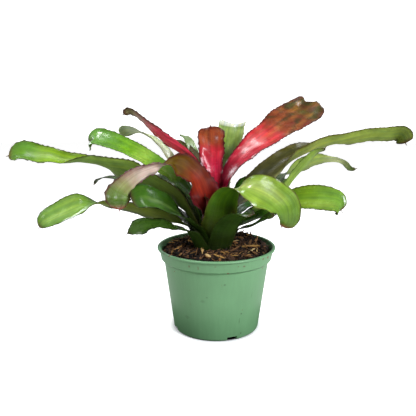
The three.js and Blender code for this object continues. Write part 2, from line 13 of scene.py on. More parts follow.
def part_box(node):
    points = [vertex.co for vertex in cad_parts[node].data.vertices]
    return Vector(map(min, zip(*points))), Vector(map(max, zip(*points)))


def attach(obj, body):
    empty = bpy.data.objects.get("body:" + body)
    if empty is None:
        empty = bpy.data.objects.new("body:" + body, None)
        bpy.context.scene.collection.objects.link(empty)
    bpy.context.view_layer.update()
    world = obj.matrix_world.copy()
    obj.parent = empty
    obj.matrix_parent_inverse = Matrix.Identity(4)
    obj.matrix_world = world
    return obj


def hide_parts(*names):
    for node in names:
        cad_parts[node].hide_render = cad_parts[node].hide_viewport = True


bl_info = {
    "name": "Potted Neoregelia",
    "version": (1, 0, 0),
    "blender": (4, 5, 0),
    "location": "3D View > Sidebar > Bromeliad",
    "description": "Builds a neoregelia bromeliad in a nursery pot round its frame",
    "category": "Object",
}

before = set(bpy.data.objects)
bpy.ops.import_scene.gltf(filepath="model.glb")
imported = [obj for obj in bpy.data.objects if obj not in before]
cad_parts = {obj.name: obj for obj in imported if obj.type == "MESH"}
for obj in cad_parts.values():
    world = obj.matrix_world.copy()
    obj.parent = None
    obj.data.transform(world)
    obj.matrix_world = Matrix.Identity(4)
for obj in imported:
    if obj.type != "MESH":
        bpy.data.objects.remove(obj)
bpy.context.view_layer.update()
MM = 0.001

# The pot's outline, from the frame where the frame gives it.
POT_LOW, POT_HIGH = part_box("pot")
POT_HEIGHT = (POT_HIGH[2] - POT_LOW[2]) / MM
RIM_RADIUS = (POT_HIGH[0] - POT_LOW[0]) / 2 / MM
BASE_RADIUS = 58.8
WALL = 2.4
LIP_BEAD = 1.6
BAND_TOP_RADIUS = 77.4
BAND_LOW_RADIUS = 75
BAND_HEIGHT = 15.5
BAND_LEVEL = POT_HEIGHT - BAND_HEIGHT
SHOULDER_RADIUS = 70.8
SHOULDER_DROP = 3.5
SHOULDER_LEVEL = BAND_LEVEL - SHOULDER_DROP
FLOOR_RISE = 3.5
FLOOR_THICKNESS = 3
FLOOR_LEVEL = FLOOR_RISE + FLOOR_THICKNESS
CENTRE_PAD_RADIUS = 18
FOOT_RING_WIDTH = 6
CORNER_RADIUS = 3
INNER_CORNER = 3
STEP_LOW_CURVE = 1.3
STEP_HIGH_CURVE = 1.4
# A turned outline starts and ends this far from the axis, and its last face closes the hole.
AXIS_GAP = 0.6
NOTCH_COUNT = 4
NOTCH_START = -70
NOTCH_WIDTH = 13.5
NOTCH_HEIGHT = 5.2
NOTCH_CORNER = 0.8
DRAIN_RADIUS = 5
DRAIN_CIRCLE = 35
# Rubs, and on the band smears of soil: angle and height of the middle, half width, half height
# and strength.
POT_MARKS = [(-82, 81, 2.2, 1.6, 0.5), (-62, 25, 0.8, 13, 0.55), (-60, 37, 1.6, 1.6, 0.7),
             (-58, 8, 1.4, 1.8, 0.8), (-106, 57, 4, 2.5, 0.25), (-128, 30, 5, 3, 0.2),
             (-47, 60, 0.7, 16, 0.3), (-117, 105, 1.6, 2, 0.6), (-108, 104, 1.2, 4, 0.5),
             (-92, 107, 1.5, 1, 0.7), (-70, 106, 1.2, 1, 0.7), (-64, 105, 2, 1.4, 0.7),
             (-101, 63, 1.6, 0.8, 0.45)]
RUB_COLOUR = "3C4E34"
SMEAR_COLOUR = "6A4630"

# The soil: its level, swells of [x, y, rise, spread], and the hole that the rosette stands in.
SOIL_LEVEL = 108.5
SOIL_GAP = 0.7
SOIL_EDGE = BAND_LOW_RADIUS - WALL - SOIL_GAP
SOIL_SWELLS = [(46, 44, 6, 26), (4, -66, 3, 30), (-66, 10, -2.5, 30)]
SOIL_RINGS = 30
HOLE_FLOOR = 95
HOLE_FOOT_RADIUS = 22.85
HOLE_COLLAR_RADIUS = 28.15

# What is strewn on the soil, and between which radii. Each kind has its models: how many, the
# first one's seed and the step to the next, how far their ends narrow and how often they are cut.
# Each piece of it draws a length, width and depth, a tint and a height over the soil. Tilt is the
# usual slant in radians, and front is how strictly the kind keeps to the front of the pot.
STREWN_FROM = 25
STREWN_TO = 71
STREWN = [
    dict(name="bark_chips", material="bark_chip", count="chip_count", models=6, first=0, step=2.7,
         narrowing=0.35, cuts=1, sizes=[(3, 10), (2, 6), (1.6, 4.2)], tints=(0.0, 0.5),
         lift=(-0.8, 3.2), tilt=0.65, front=0),
    dict(name="bark_fibres", material="bark_fibre", count="fibre_count", models=6, first=30, step=1.9,
         narrowing=0.6, cuts=2, sizes=[(6, 19), (0.9, 2.2), (0.6, 1.6)], tints=(0.0, 0.7),
         lift=(0.6, 4.4), tilt=0.42, front=0),
    dict(name="wood_slivers", material="wood_sliver", count="sliver_count", models=5, first=60, step=3.1,
         narrowing=0.5, cuts=2, sizes=[(11, 27), (2.0, 4.4), (0.8, 1.6)], tints=(0.66, 1.0),
         lift=(2.8, 5.6), tilt=0.2, front=0.85),
]
BARK_BROWNS = [(0, "120C08"), (0.25, "2E1F15"), (0.5, "5A3E2A"), (0.72, "93683C"), (0.88, "C69850"),
               (1, "E8C88C")]

# The rosette. A leaf's midrib starts as a sheath round the stem, one ring outside the last, and
# then follows its own route of [outwards, up, drift to the left].
PLANT = Vector((-3, -2, 0))
SHEATH_HEIGHTS = (98, 116, 140)
SHEATH_RADII = (6, 8, 9.5)
SHEATH_STEPS = (1.45, 1.75, 2.9)
SHEATH_RELEASE = 40
MIDRIB_STEPS = 600
STEM_SCARS = 6

# A blade's mesh. The columns crowd towards the margins, and every third row has a tooth there.
BLADE_COLUMNS = 18
COLUMN_CROWDING = 0.96
BLADE_LEAST_ROWS = 12
TIP_ROWS = 12
MUCRO_LENGTH = 3.5
MUCRO_HALF_WIDTH = 0.5
TOOTH_START = 0.22
TOOTH_EVERY = 3
TOOTH_DRAW = (0.6, 1.1)
TOOTH_COLOUR = "22140A"
# What a leaf has where it gives no value of its own: the margin's reach, and the tip's sag and colour.
EDGE_RIM = 1.6
TIP_DROOP = 0.25
TIP_COLOUR = "4E3A20"
# How far a margin wanders outwards, the blade ripples and its margins wave.
MARGIN_WANDER = 0.7
BLADE_RIPPLE = 0.9
MARGIN_WAVE = 1.5

# Finishes of a leaf's face. Streaks are the colours that broad lengthwise streaks multiply it by.
GREEN_STREAKS = [(0.36, "E2E8D6"), (0.64, "FFFBCC")]
RED_STREAKS = [(0.36, "D8B8C0"), (0.64, "FFF4F4")]
PALE_STREAKS = [(0.34, "ECDEDC"), (0.66, "FFFCF8")]
FINISHES = {
    "waxy_leaf_upper": dict(roughness=0.23, specular=0.42, coat=0.22, scurf=0.0, streaks=GREEN_STREAKS),
    "dull_leaf_upper": dict(roughness=0.37, specular=0.4, coat=0.0, scurf=0.0, streaks=GREEN_STREAKS),
    "waxy_red_leaf_upper": dict(roughness=0.25, specular=0.34, coat=0.12, scurf=0.0, streaks=RED_STREAKS),
    "satin_red_leaf_upper": dict(roughness=0.5, specular=0.15, coat=0.0, scurf=0.0, streaks=RED_STREAKS),
    "waxy_leaf_lower": dict(roughness=0.45, specular=0.12, coat=0.0, scurf=0.02, streaks=GREEN_STREAKS),
    "waxy_red_leaf_lower": dict(roughness=0.36, specular=0.2, coat=0.0, scurf=0.03, streaks=RED_STREAKS),
    "scurfy_leaf_lower": dict(roughness=0.34, specular=0.4, coat=0.1, scurf=0.2, streaks=PALE_STREAKS),
}
SKINS = {
    "green": ("waxy_leaf_upper", "waxy_leaf_lower"),
    "dull": ("dull_leaf_upper", "waxy_leaf_lower"),
    "red": ("waxy_red_leaf_upper", "waxy_red_leaf_lower"),
    "satin": ("satin_red_leaf_upper", "scurfy_leaf_lower"),
}

# The stage, in metres and degrees. A softbox has its place, width, the setting that gives its
# power, its share of that power and its colour.
LIGHTS_AIM = (0, 0, 0.2)
SOFTBOXES = {
    "top_softbox": ((-0.25, 0.2, 1.3), 0.22, "key_power", 1, "FFFFFF"),
    "back_left_softbox": ((-0.9, 0.8, 0.9), 0.35, "rim_power", 1, "F4F8FF"),
    "back_right_softbox": ((0.6, 0.7, 1.15), 0.35, "rim_power", 1, "F4F8FF"),
    "right_softbox": ((1.0, -0.9, 0.8), 0.45, "fill_power", 1, "F4F8FF"),
    "left_softbox": ((-0.9, -0.8, 1.2), 0.3, "fill_power", 0.3, "F4F8FF"),
}
CAMERA_PLACE = (-0.0113, -0.666, 0.2993)
CAMERA_PITCH = 78.6
CAMERA_LENS = 43.7
CAMERA_SENSOR = 36
CAMERA_REACH = 50

# What leaves have in common: half widths, folds and colours as [share of length, value] pairs
# from the stem to the tip.
FULL_GIRTH = [(0, 1.1), (0.15, 1), (0.35, 0.78), (0.55, 0.88), (0.78, 1), (1, 0.94)]
NECKED_GIRTH = [(0, 1.1), (0.12, 0.8), (0.3, 0.55), (0.5, 0.75), (0.75, 1), (1, 0.94)]
NECK_SWELL = [(0.25, 1), (0.4, 1.3), (0.58, 1.3), (0.72, 1.1), (0.85, 1.05), (0.94, 0.8), (1, 0.4)]
TIP_SWELL = [(0.7, 1), (0.84, 1.8), (0.95, 1.5), (1, 1)]
FLAT_ROLL = [(0, 0), (1, 0)]
NARROW_FOLD = [(0, 30), (0.6, 30), (1, 20)]
# Most leaves' colours start near black at the stem: partly the sheaths' darker colour, partly painted shade
# deep in the rosette.
CRIMSON_UPPER = [(0, "2E0610"), (0.3, "6E0E24"), (0.5, "A41B37"), (0.8, "B42A3C"), (1, "8A4A2C")]
CRIMSON_LOWER = [(0, "2E1210"), (0.4, "8A3038"), (0.8, "A04A44"), (1, "6E4A2C")]
GREEN_UPPER = [(0, "10180A"), (0.3, "243A10"), (0.55, "46701E"), (0.8, "6A9A30"), (1, "7AA83C")]
GREEN_LOWER = [(0, "181E0C"), (0.3, "36481C"), (0.6, "62804A"), (1, "7A9A58")]
DARK_UPPER = [(0, "0E1408"), (0.35, "1C3010"), (0.7, "2E5218"), (1, "395222")]
DARK_LOWER = [(0, "14180A"), (0.4, "2A3A18"), (1, "44602E")]
PALE_BOTH = [(0, "222A14"), (0.35, "6A7E50"), (0.7, "98A880"), (1, "B0BC98")]
# A short leaf hidden in the heart, and a plain one at the back.
HEART_LEAF = dict(slot="leaf_red", skin="red", square=2, roll=FLAT_ROLL, fold=[(0, 50), (1, 30)],
                  girth=[(0, 1), (0.5, 1), (1, 0.8)], upper=CRIMSON_UPPER, lower=CRIMSON_LOWER,
                  edge="4A0D18")
BACK_LEAF = dict(slot="leaf_green", fold=[(0, 30), (0.6, 25), (1, 10)], girth=FULL_GIRTH,
                 upper=GREEN_UPPER, lower=GREEN_LOWER, edge="3E5A20")

# Every leaf, from the heart outwards. Pairs are eased from one share of the length to the next,
# angles are in degrees, and left and right are as seen from the stem.
#   ring, heading    its ring of sheaths, and the way it grows, turning from +X towards +Y
#   width            half width of the blade
#   wrap             half the angle that its sheath may reach round the stem
#   square           how square the tip is: 1 would be a point, 2 is round
#   release          how far outwards it takes to leave the sheath's curve
#   route            the midrib's own line
#   roll, twist      turn of the blade round its midrib, the sum of both
#   fold, crease     how far the blade curls up from midrib to margin, the sum of both
#   girth            share of the half width; left and right multiply it on one side
#   lean             shift of the blade in x, y and z
#   skin             the finishes of its upper and lower face, green where not given
#   upper, lower     colours of its faces; edge is the margin's, rim its reach, tip the dry tip's
#   ripple, spines   how strongly it ripples and how long its teeth are, 1 where not given
#   skew, droop      how far the tip slants to the left and sags, in half widths
#   bites            notches in the tip: middle and spread in half widths, depth, below 0 a point
#   bands            face, middle and spread across it from -1 to 1, colour, strength, start, end
#   mottle           clouds on the upper face: colour, strength and where they start
LEAVES = [
    dict(name="leaf_upright_centre", slot="leaf_red", skin="red", ring=0, heading=98, width=20, wrap=38,
         square=3,
         route=[(11, 170), (14, 200), (20, 230), (28, 256), (32, 272)],
         roll=[(0, 0), (1, -4)], fold=[(0, 30), (0.6, 22), (1, 10)],
         girth=[(0, 0.5), (0.3, 0.56), (0.45, 0.82), (0.6, 0.95), (0.85, 1), (1, 0.95)],
         left=[(0.4, 1), (0.6, 1.3), (0.78, 1.35), (0.9, 1.05), (1, 0.95)],
         right=[(0.4, 1), (0.6, 1.25), (0.78, 1.15), (0.9, 1)],
         upper=[(0, "3E0710"), (0.3, "8E0A26"), (0.5, "AE0E34"), (0.68, "D01C46"), (0.82, "CC2A38"),
                (0.89, "AE4E24"), (0.95, "9A4A20"), (1, "5A2A16")], lower=CRIMSON_LOWER, edge="4A0D18",
         rim=2.4, tip="6A2A1A", ripple=2, spines=2.4, bites=[(0.35, 0.3, 2), (0, 2, -5)],
         mottle=[("7A4A22", 0.5, 0.85)]),
    dict(HEART_LEAF, name="leaf_heart", ring=0, heading=318, width=10, wrap=60,
         route=[(10, 158), (12, 176)]),
    dict(HEART_LEAF, name="leaf_heart_left", ring=0, heading=212, width=10, wrap=44,
         route=[(10, 162), (12, 186)]),
    dict(HEART_LEAF, name="leaf_heart_front", ring=1, heading=270, width=12, wrap=50,
         route=[(15, 160), (18, 182)]),
    dict(name="leaf_big_red", slot="leaf_red", skin="red", ring=1, heading=32, width=33, wrap=42,
         square=3.4,
         route=[(14, 170), (18, 197), (28, 216), (47, 234), (70, 251), (93, 264), (119, 277),
                (142, 287), (164, 297), (178, 303)],
         roll=[(0, 0), (0.35, 12), (0.6, 22), (1, 26)], fold=[(0, 30), (0.4, 26), (0.7, 14), (1, 10)],
         girth=[(0, 0.34), (0.3, 0.34), (0.5, 0.52), (0.66, 0.7), (0.82, 0.95), (1, 0.9)],
         right=[(0.45, 1), (0.65, 1.12), (0.85, 1)],
         upper=[(0, "2E0610"), (0.3, "6A0E26"), (0.4, "A21C38"), (0.5, "C8243C"), (0.6, "D83038"),
                (0.68, "D4363A"), (0.75, "9A5020"), (0.84, "864220"), (0.91, "5E5A1C"), (1, "444A1C")],
         lower=CRIMSON_LOWER, edge="4A0F18", rim=2.6, spines=1.8, droop=-0.12,
         bites=[(0.32, 0.22, 8), (0.85, 0.2, -6), (-0.1, 0.2, -4)],
         mottle=[("B87E30", 0.5, 0.62), ("464A1C", 0.9, 0.7), ("7A2218", 0.4, 0.7)]),
    dict(name="leaf_red_left", slot="leaf_red", skin="red", ring=1, heading=150, width=15, wrap=44,
         square=2.4,
         route=[(14, 176, -6), (20, 206, -13), (36, 227, -10), (57, 241, -6), (77, 254, 1),
                (90, 266, 7), (102, 277, 12), (115, 288, 17), (124, 293, 20), (134, 289, 23)],
         roll=[(0, 0), (0.34, 12), (0.46, 55), (0.7, 65), (1, 45)], fold=[(0, 40), (0.5, 50), (1, 40)],
         girth=[(0, 0.6), (0.25, 0.35), (0.32, 0.42), (0.46, 0.84), (0.6, 0.95), (0.75, 0.72),
                (0.88, 0.5), (1, 0.42)], left=[(0.3, 1), (0.4, 0.45), (0.6, 0.5), (0.74, 0.9), (1, 1)],
         upper=[(0, "2A0A0C"), (0.4, "8A1A2C"), (0.6, "7A2A28"), (0.8, "4E3A1E"), (1, "5E5A2A")],
         lower=[(0, "5A1418"), (0.4, "C82A40"), (0.5, "F43C5A"), (0.76, "F0506A"), (0.83, "E48A90"),
                (0.89, "CCAC9C"), (0.94, "969468"), (1, "6A6A3E")], edge="4A1A14", rim=2.2,
         tip="5A2A1E", ripple=1.5, spines=1.8),
    dict(name="leaf_pale_back", slot="leaf_pale", ring=2, heading=72, width=20, wrap=44, square=3.4,
         route=[(20, 170), (34, 200), (52, 225), (70, 248), (83, 265), (94, 276), (106, 278)],
         roll=[(0, 0), (1, 6)], fold=[(0, 30), (0.7, 24), (0.9, 30), (1, 36)],
         girth=[(0, 0.6), (0.5, 0.7), (0.85, 1), (1, 0.98)],
         # The darker stop at 0.89, just under the white rim, is a painted shade line where a curled rim
         # would shade the blade.
         upper=[(0, "202A10"), (0.45, "3E4C1E"), (0.62, "5E7638"), (0.78, "7C9644"), (0.86, "90A862"),
                (0.89, "7E9858"), (0.905, "C8CED0"), (0.93, "E4E8F4"), (1, "DCE0EA")], lower=PALE_BOTH,
         edge="D4DCC4", rim=0.8, tip="F6F8F0", bites=[(-0.1, 0.45, 4)]),
    dict(name="leaf_bent_front", slot="leaf_red", skin="satin", ring=2, heading=190, width=18, wrap=44,
         square=2.2, release=8,
         route=[(20, 168), (24, 190, 1), (31, 209, 2), (43, 222, 2), (58, 227, 4), (74, 223, 10),
                (90, 219, 17), (104, 213, 23), (118, 202, 27), (126, 189, 29), (128, 173, 29)],
         roll=[(0, 0), (0.28, 0), (0.42, -60), (0.55, -70), (0.62, 0), (0.69, 60), (1, 75)],
         twist=[(0.2, 0), (0.26, -60), (0.33, -50), (0.42, 0)],
         fold=[(0, 30), (0.4, 14), (0.6, 10), (1, 16)],
         girth=[(0, 0.6), (0.22, 0.48), (0.38, 1.12), (0.52, 0.95), (0.6, 0.55), (0.7, 0.65),
                (0.86, 0.82), (1, 0.95)],
         left=[(0.08, 1), (0.2, 1.4), (0.3, 1.4), (0.36, 0.95), (0.43, 0.62), (0.5, 0.85), (0.6, 1),
               (0.7, 0.82), (0.8, 0.88), (0.93, 1.1), (1, 0.85)],
         right=[(0.2, 1), (0.28, 1.7), (0.36, 1.4), (0.43, 1.12), (0.5, 1.08), (0.62, 1), (0.7, 0.82),
                (0.8, 0.88), (0.93, 1.05), (1, 0.7)],
         lean=[(0.2, 0, 0, 0), (0.3, 7, 0, 0), (0.42, 4, 0, 1), (0.55, 0, 0, 0)],
         upper=[(0, "2A0508"), (0.2, "4A0A0C"), (0.3, "5A1210"), (0.36, "701A12"), (0.43, "82300F"),
                (0.49, "72420A"), (0.54, "6C5006"), (0.6, "685C06"), (0.68, "6A5A10"), (1, "5E7A2A")],
         lower=[(0, "6E5048"), (0.6, "ECDCD4"), (0.75, "E4D0C4"), (0.82, "D0C0A4"), (0.87, "A4AC6A"),
                (0.92, "6E9038"), (0.97, "4E7420"), (1, "4E7420")], edge="5A1420", rim=3, tip="8A2418",
         ripple=2.4, spines=2.6, droop=0.6,
         bands=[("lower", 0.8, 0.35, "8E5A56", 0.65, 0.6, 0.92),
                ("upper", 0, 0.4, "B83A18", 0.7, 0.3, 0.52)]),
    dict(name="leaf_upper_left", slot="leaf_green", ring=3, heading=172, width=20, wrap=44, square=5,
         route=[(24, 162), (30, 177), (39, 189), (50, 200), (67, 213), (88, 227), (108, 238),
                (129, 247), (150, 255), (166, 258), (174, 250)],
         roll=[(0, 0), (0.22, -35), (0.4, -15), (0.7, -22), (1, -32)],
         fold=[(0, 30), (0.5, 34), (0.8, 26), (1, 14)],
         girth=[(0, 1.1), (0.12, 0.9), (0.25, 1), (0.4, 0.85), (0.55, 0.9), (0.78, 1), (1, 0.94)],
         upper=[(0, "141F0A"), (0.4, "2F5A1B"), (0.6, "6EA030"), (0.66, "92BC4C"), (0.75, "74AC23"),
                (0.88, "649C30"), (1, "7AB058")],
         lower=[(0, "1E2A12"), (0.4, "4A5E30"), (0.6, "6F8A58"), (1, "8FA872")], edge="4E6A24",
         spines=1.8, skew=0.5, droop=0.12, bites=[(0.55, 0.3, -5), (-0.1, 0.3, 5), (-0.8, 0.25, -2)]),
    dict(name="leaf_far_right", slot="leaf_olive", skin="dull", ring=3, heading=8, width=18, wrap=44,
         square=2.4,
         route=[(26, 168), (42, 189), (56, 203), (70, 215), (89, 227), (110, 237), (130, 245),
                (158, 252), (186, 256), (214, 259), (243, 260), (262, 261), (270, 252)],
         roll=[(0, 0), (0.25, 38), (0.4, 30), (0.52, 15), (0.66, -20), (0.78, -45), (1, -50)],
         fold=[(0, 30), (0.3, 40), (0.45, 55), (0.62, 55), (0.78, 30), (1, 20)],
         crease=[(0.4, 0), (0.52, 35), (0.64, 30), (0.76, 0)],
         girth=[(0, 1.1), (0.12, 0.65), (0.2, 0.65), (0.34, 1.1), (0.45, 1.1), (0.7, 0.75), (1, 0.78)],
         left=[(0.42, 1), (0.55, 1.15), (0.66, 1.05), (0.8, 1)],
         right=[(0.15, 1), (0.25, 1.4), (0.42, 1.5), (0.55, 1.65), (0.66, 1.4), (0.8, 1.05), (1, 1)],
         lean=[(0.15, 0, 0, 0), (0.3, 5, 0, -4), (0.5, 4, 0, -3), (0.6, 3, 0, -5), (0.7, 1, 0, -3),
               (0.85, 0, 0, 0)],
         upper=[(0, "1C1C0A"), (0.3, "454420"), (0.5, "5C5A26"), (0.7, "7A7A38"), (1, "6A6A30")],
         lower=[(0, "2A3416"), (0.4, "7E8440"), (0.55, "9AA658"), (0.7, "9CB058"), (0.88, "8EA452"),
                (1, "6E8040")], edge="4A3A1A", tip="4A2A1A", droop=0.7, bites=[(-0.8, 0.4, -4)],
         bands=[("upper", -0.95, 0.3, "C0C49A", 0.85, 0.2, 0.62)]),
    dict(name="leaf_dark_back_left", slot="leaf_olive", ring=4, heading=129, width=14, wrap=44,
         square=2.2,
         route=[(31, 170), (45, 202), (62, 224), (82, 237), (104, 247), (124, 254)],
         roll=[(0, 0), (1, 10)], fold=NARROW_FOLD, girth=NECKED_GIRTH,
         right=[(0.35, 1), (0.6, 1.6), (0.9, 1.5), (1, 1)],
         lean=[(0.35, 0, 0, 0), (0.65, 6, 0, 0), (1, 6, 0, 0)],
         upper=[(0, "24200E"), (0.5, "5A5030"), (1, "5A5030")],
         lower=[(0, "24200E"), (0.5, "534828"), (1, "6A5E34")], edge="2E3214"),
    dict(name="leaf_curled_right", slot="leaf_pale", ring=4, heading=20, width=19, wrap=38, square=2,
         route=[(34, 163), (55, 181), (79, 195), (101, 206), (123, 214), (145, 220), (168, 224),
                (189, 223), (203, 218), (212, 211), (222, 213)],
         roll=[(0, 0), (0.25, 14), (0.36, 30), (0.48, 10), (0.65, -48), (1, -55)],
         fold=[(0, 30), (0.6, 20), (1, 30)],
         girth=[(0, 1), (0.15, 0.7), (0.24, 0.75), (0.36, 1), (0.5, 1), (0.75, 0.9), (0.9, 0.45),
                (1, 0.45)],
         left=[(0.08, 1), (0.2, 1.8), (0.32, 1.6), (0.55, 1.4), (0.7, 1), (0.84, 0.4), (1, 0.5)],
         right=[(0.08, 1), (0.2, 1.8), (0.33, 1.7), (0.45, 1.5), (0.55, 1), (0.7, 1), (0.84, 0.4),
                (1, 0.5)],
         # The bright greens at 0.2 to 0.35 are partly the leaf's green and partly painted light that
         # brightens its shaded inner part.
         upper=[(0, "16240C"), (0.2, "4EA834"), (0.35, "6EBC4C"), (0.5, "6E9A48"), (0.7, "3E5E24"),
                (1, "2E4418")],
         lower=[(0, "2A3A1C"), (0.4, "5E7E38"), (0.55, "8EAA50"), (0.75, "A4BA6C"), (0.86, "C0C8A4"),
                (1, "4E6A34")], edge="34461E"),
    dict(name="leaf_grey_back_left", slot="leaf_pale", ring=5, heading=146, width=14, wrap=44,
         square=2.4,
         route=[(40, 176), (58, 207), (77, 231), (94, 246), (111, 256), (129, 262), (148, 264),
                (167, 260)],
         roll=[(0, 0), (0.5, 0), (0.75, 15), (1, 30)], fold=NARROW_FOLD, girth=NECKED_GIRTH,
         # Its pale grey-greens are partly the leaf's own grey-green and partly a painted reflection of the
         # white room at a grazing angle.
         upper=[(0, "2A3A1C"), (0.4, "8E9E76"), (0.65, "D6DCCC"), (0.8, "D2DEC8"), (1, "B8CCA0")],
         lower=[(0, "2A3A1C"), (0.35, "8A9A72"), (0.65, "D6DCCC"), (0.85, "D2DEC8"), (1, "B8CCA0")],
         edge="90A078", tip="A8B890"),
    dict(BACK_LEAF, name="leaf_back_right", ring=5, heading=44, width=17, wrap=40, square=2.6,
         route=[(42, 160), (68, 177), (98, 187), (128, 190), (152, 184)],
         roll=[(0, 0), (1, -8)]),
    dict(name="leaf_broad_front", slot="leaf_green", ring=5, heading=290, width=22, wrap=66, square=2.8,
         route=[(28, 160, 3), (32, 180, 4), (41, 195, 10), (54, 201, 22), (68, 198, 36), (82, 189, 48),
                (93, 178, 55), (97, 167, 54), (96, 158, 50)],
         roll=[(0, 0), (0.25, -15), (0.4, 0), (0.55, 30), (0.75, 45), (1, 40)],
         fold=[(0, 30), (0.3, 45), (0.5, 25), (0.75, 10), (1, 14)],
         girth=[(0, 1), (0.2, 1.35), (0.32, 1.2), (0.45, 0.95), (0.6, 1), (0.85, 1), (1, 0.8)],
         left=[(0.42, 1), (0.52, 0.82), (0.62, 0.85), (0.75, 0.95), (0.9, 1), (1, 0.75)],
         right=[(0.42, 1), (0.52, 0.88), (0.66, 0.95), (0.72, 1.05), (0.84, 0.75), (0.91, 0.5),
                (1, 0.1)],
         upper=[(0, "1C2A0C"), (0.3, "3A5A14"), (0.45, "5A8418"), (0.58, "86AA40"), (0.7, "A2C450"),
                (0.82, "8EB844"), (0.94, "84AE4A"), (1, "5A8430")],
         lower=[(0, "1A220C"), (0.15, "2E3A12"), (0.25, "3E4E14"), (0.35, "4E701A"), (0.45, "5E8E20"),
                (1, "6F9A34")], edge="6A6A30", tip="8A2A22", droop=0.5, bites=[(0, 1.2, -5)],
         # The pale upper band down the middle is partly the leaf's pale centre and partly a painted
         # highlight in its trough.
         bands=[("upper", 0.15, 0.35, "C4D486", 0.7, 0.42, 0.9),
                # The brown lower band is painted shade on the shaded half of the riser.
                ("lower", 0.6, 0.35, "5A4426", 0.8, 0.18, 0.4)]),
    dict(name="leaf_far_left", slot="leaf_olive", skin="dull", ring=6, heading=186, width=22, wrap=40,
         square=4,
         route=[(36, 158), (53, 175), (75, 191), (98, 206), (123, 219), (149, 229), (173, 234),
                (198, 237), (222, 239), (246, 241), (260, 239)],
         roll=[(0, 0), (0.3, 45), (0.5, 60), (0.66, 15), (0.8, -32), (1, -42)],
         fold=[(0, 30), (0.4, 22), (0.55, 48), (0.68, 58), (0.8, 44), (0.9, 22), (1, 10)],
         crease=[(0.56, 0), (0.64, 25), (0.76, 25), (0.86, 0)],
         girth=[(0, 1), (0.15, 1), (0.3, 1), (0.42, 0.85), (0.55, 0.84), (0.78, 0.66), (0.92, 0.84),
                (1, 0.82)],
         left=[(0.56, 1), (0.68, 1.1), (0.76, 1.25), (0.84, 1.05), (0.96, 0.7), (1, 0.45)],
         right=[(0.42, 1), (0.54, 1.6), (0.64, 1.9), (0.7, 1.3), (0.77, 0.9), (0.86, 0.95), (1, 1)],
         lean=[(0.5, 0, 0, 0), (0.62, 0, 0, -4), (0.76, 0, 0, -5), (0.86, 0, 0, -1), (1, 0, 0, 3)],
         upper=[(0, "1A240C"), (0.45, "4A5A20"), (0.62, "678030"), (0.72, "80A21E"), (0.85, "86B01C"),
                (0.93, "64981C"), (1, "7AB040")],
         lower=[(0, "34401A"), (0.3, "52602A"), (0.45, "66803A"), (0.6, "84A252"), (0.75, "92B45C"),
                (1, "98B858")], edge="3A3312", tip="6A4A30", spines=2, bites=[(0, 1.2, -6)],
         bands=[("lower", -0.85, 0.3, "4A4A1E", 0.7, 0.3, 0.75),
                ("upper", -0.6, 0.4, "3E7A3A", 0.5, 0.88, 1)]),
    dict(name="leaf_narrow_tip_back", slot="leaf_pale", ring=6, heading=112, width=9, wrap=28, square=2,
         route=[(46, 170), (62, 203), (77, 231), (95, 246), (113, 254), (130, 256)],
         roll=[(0, 0), (1, 10)], fold=NARROW_FOLD, girth=[(0, 1.4), (0.3, 1.1), (0.6, 0.9), (1, 0.8)],
         upper=[(0, "2A3A1C"), (0.5, "6E8658"), (1, "8EA47E")], lower=PALE_BOTH, edge="6F8F50"),
    dict(name="leaf_narrow_right", slot="leaf_green", ring=6, heading=350, width=17, wrap=42,
         square=1.8,
         route=[(46, 156), (68, 171), (90, 186), (103, 202), (117, 219), (130, 235), (142, 248)],
         roll=[(0, 0), (0.5, -15), (1, -30)], fold=[(0, 30), (0.5, 50), (1, 50)],
         girth=[(0, 1.3), (0.3, 0.9), (0.5, 1), (0.8, 0.9), (1, 0.5)],
         left=[(0.1, 1), (0.2, 2.3), (0.3, 2.1), (0.45, 1.6), (0.6, 1.1), (0.7, 1)],
         right=[(0.35, 1), (0.5, 0.8), (1, 0.8)], lean=[(0.5, 0, 0, 0), (0.8, -1, 0, 4), (1, -1, 0, 5)],
         upper=DARK_UPPER, lower=[(0, "22300F"), (0.35, "56762E"), (0.6, "9AB860"), (1, "8CA854")],
         edge="4E6A2A", bands=[("lower", 0.75, 0.3, "34502A", 0.85, 0.4, 0.97)]),
    dict(name="leaf_front_left", slot="leaf_green", skin="dull", ring=7, heading=208, width=21, wrap=46,
         square=2.6,
         route=[(44, 156), (64, 172), (84, 184), (102, 190), (118, 191)],
         roll=[(0, 0), (0.4, -20), (0.7, -32), (1, -40)], fold=[(0, 30), (0.5, 25), (1, 12)],
         girth=[(0, 1.1), (0.15, 1), (0.35, 0.95), (0.78, 1), (1, 0.94)],
         upper=[(0, "0C1406"), (0.35, "18280A"), (0.6, "2A4A10"), (0.78, "3A6614"), (0.9, "417213"),
                (1, "3A6614")], lower=[(0, "22300F"), (0.3, "365018"), (0.6, "4E7030"), (1, "62804A")],
         # The pale upper line along the midrib is partly a paler midrib and partly a painted highlight on
         # its ridge.
         edge="24420F", bands=[("upper", 0.1, 0.14, "6E8E4C", 0.6, 0.4, 0.95)]),
    dict(BACK_LEAF, name="leaf_back_high", ring=7, heading=85, width=17, wrap=42, square=2.6,
         route=[(48, 162), (72, 182), (100, 194), (128, 198), (154, 194)],
         roll=[(0, 0), (1, 8)]),
    dict(name="leaf_right", slot="leaf_green", ring=7, heading=352, width=19, wrap=44, square=2.6,
         route=[(50, 150), (68, 160), (90, 170), (113, 178), (138, 180), (156, 179), (166, 175),
                (170, 167)],
         roll=[(0, 0), (0.3, 5), (0.6, 30), (1, 45)], fold=[(0, 30), (0.3, 40), (0.6, 20), (1, 10)],
         girth=FULL_GIRTH, left=[(0.4, 1), (0.55, 1.35), (0.8, 1.3), (0.92, 1)],
         lean=[(0.85, 0, 0, 0), (0.94, 3, 0, 0), (1, 7, 0, 1)],
         upper=[(0, "16260C"), (0.35, "3A6A1C"), (0.55, "6A9A38"), (0.72, "82AA34"), (0.88, "78A43E"),
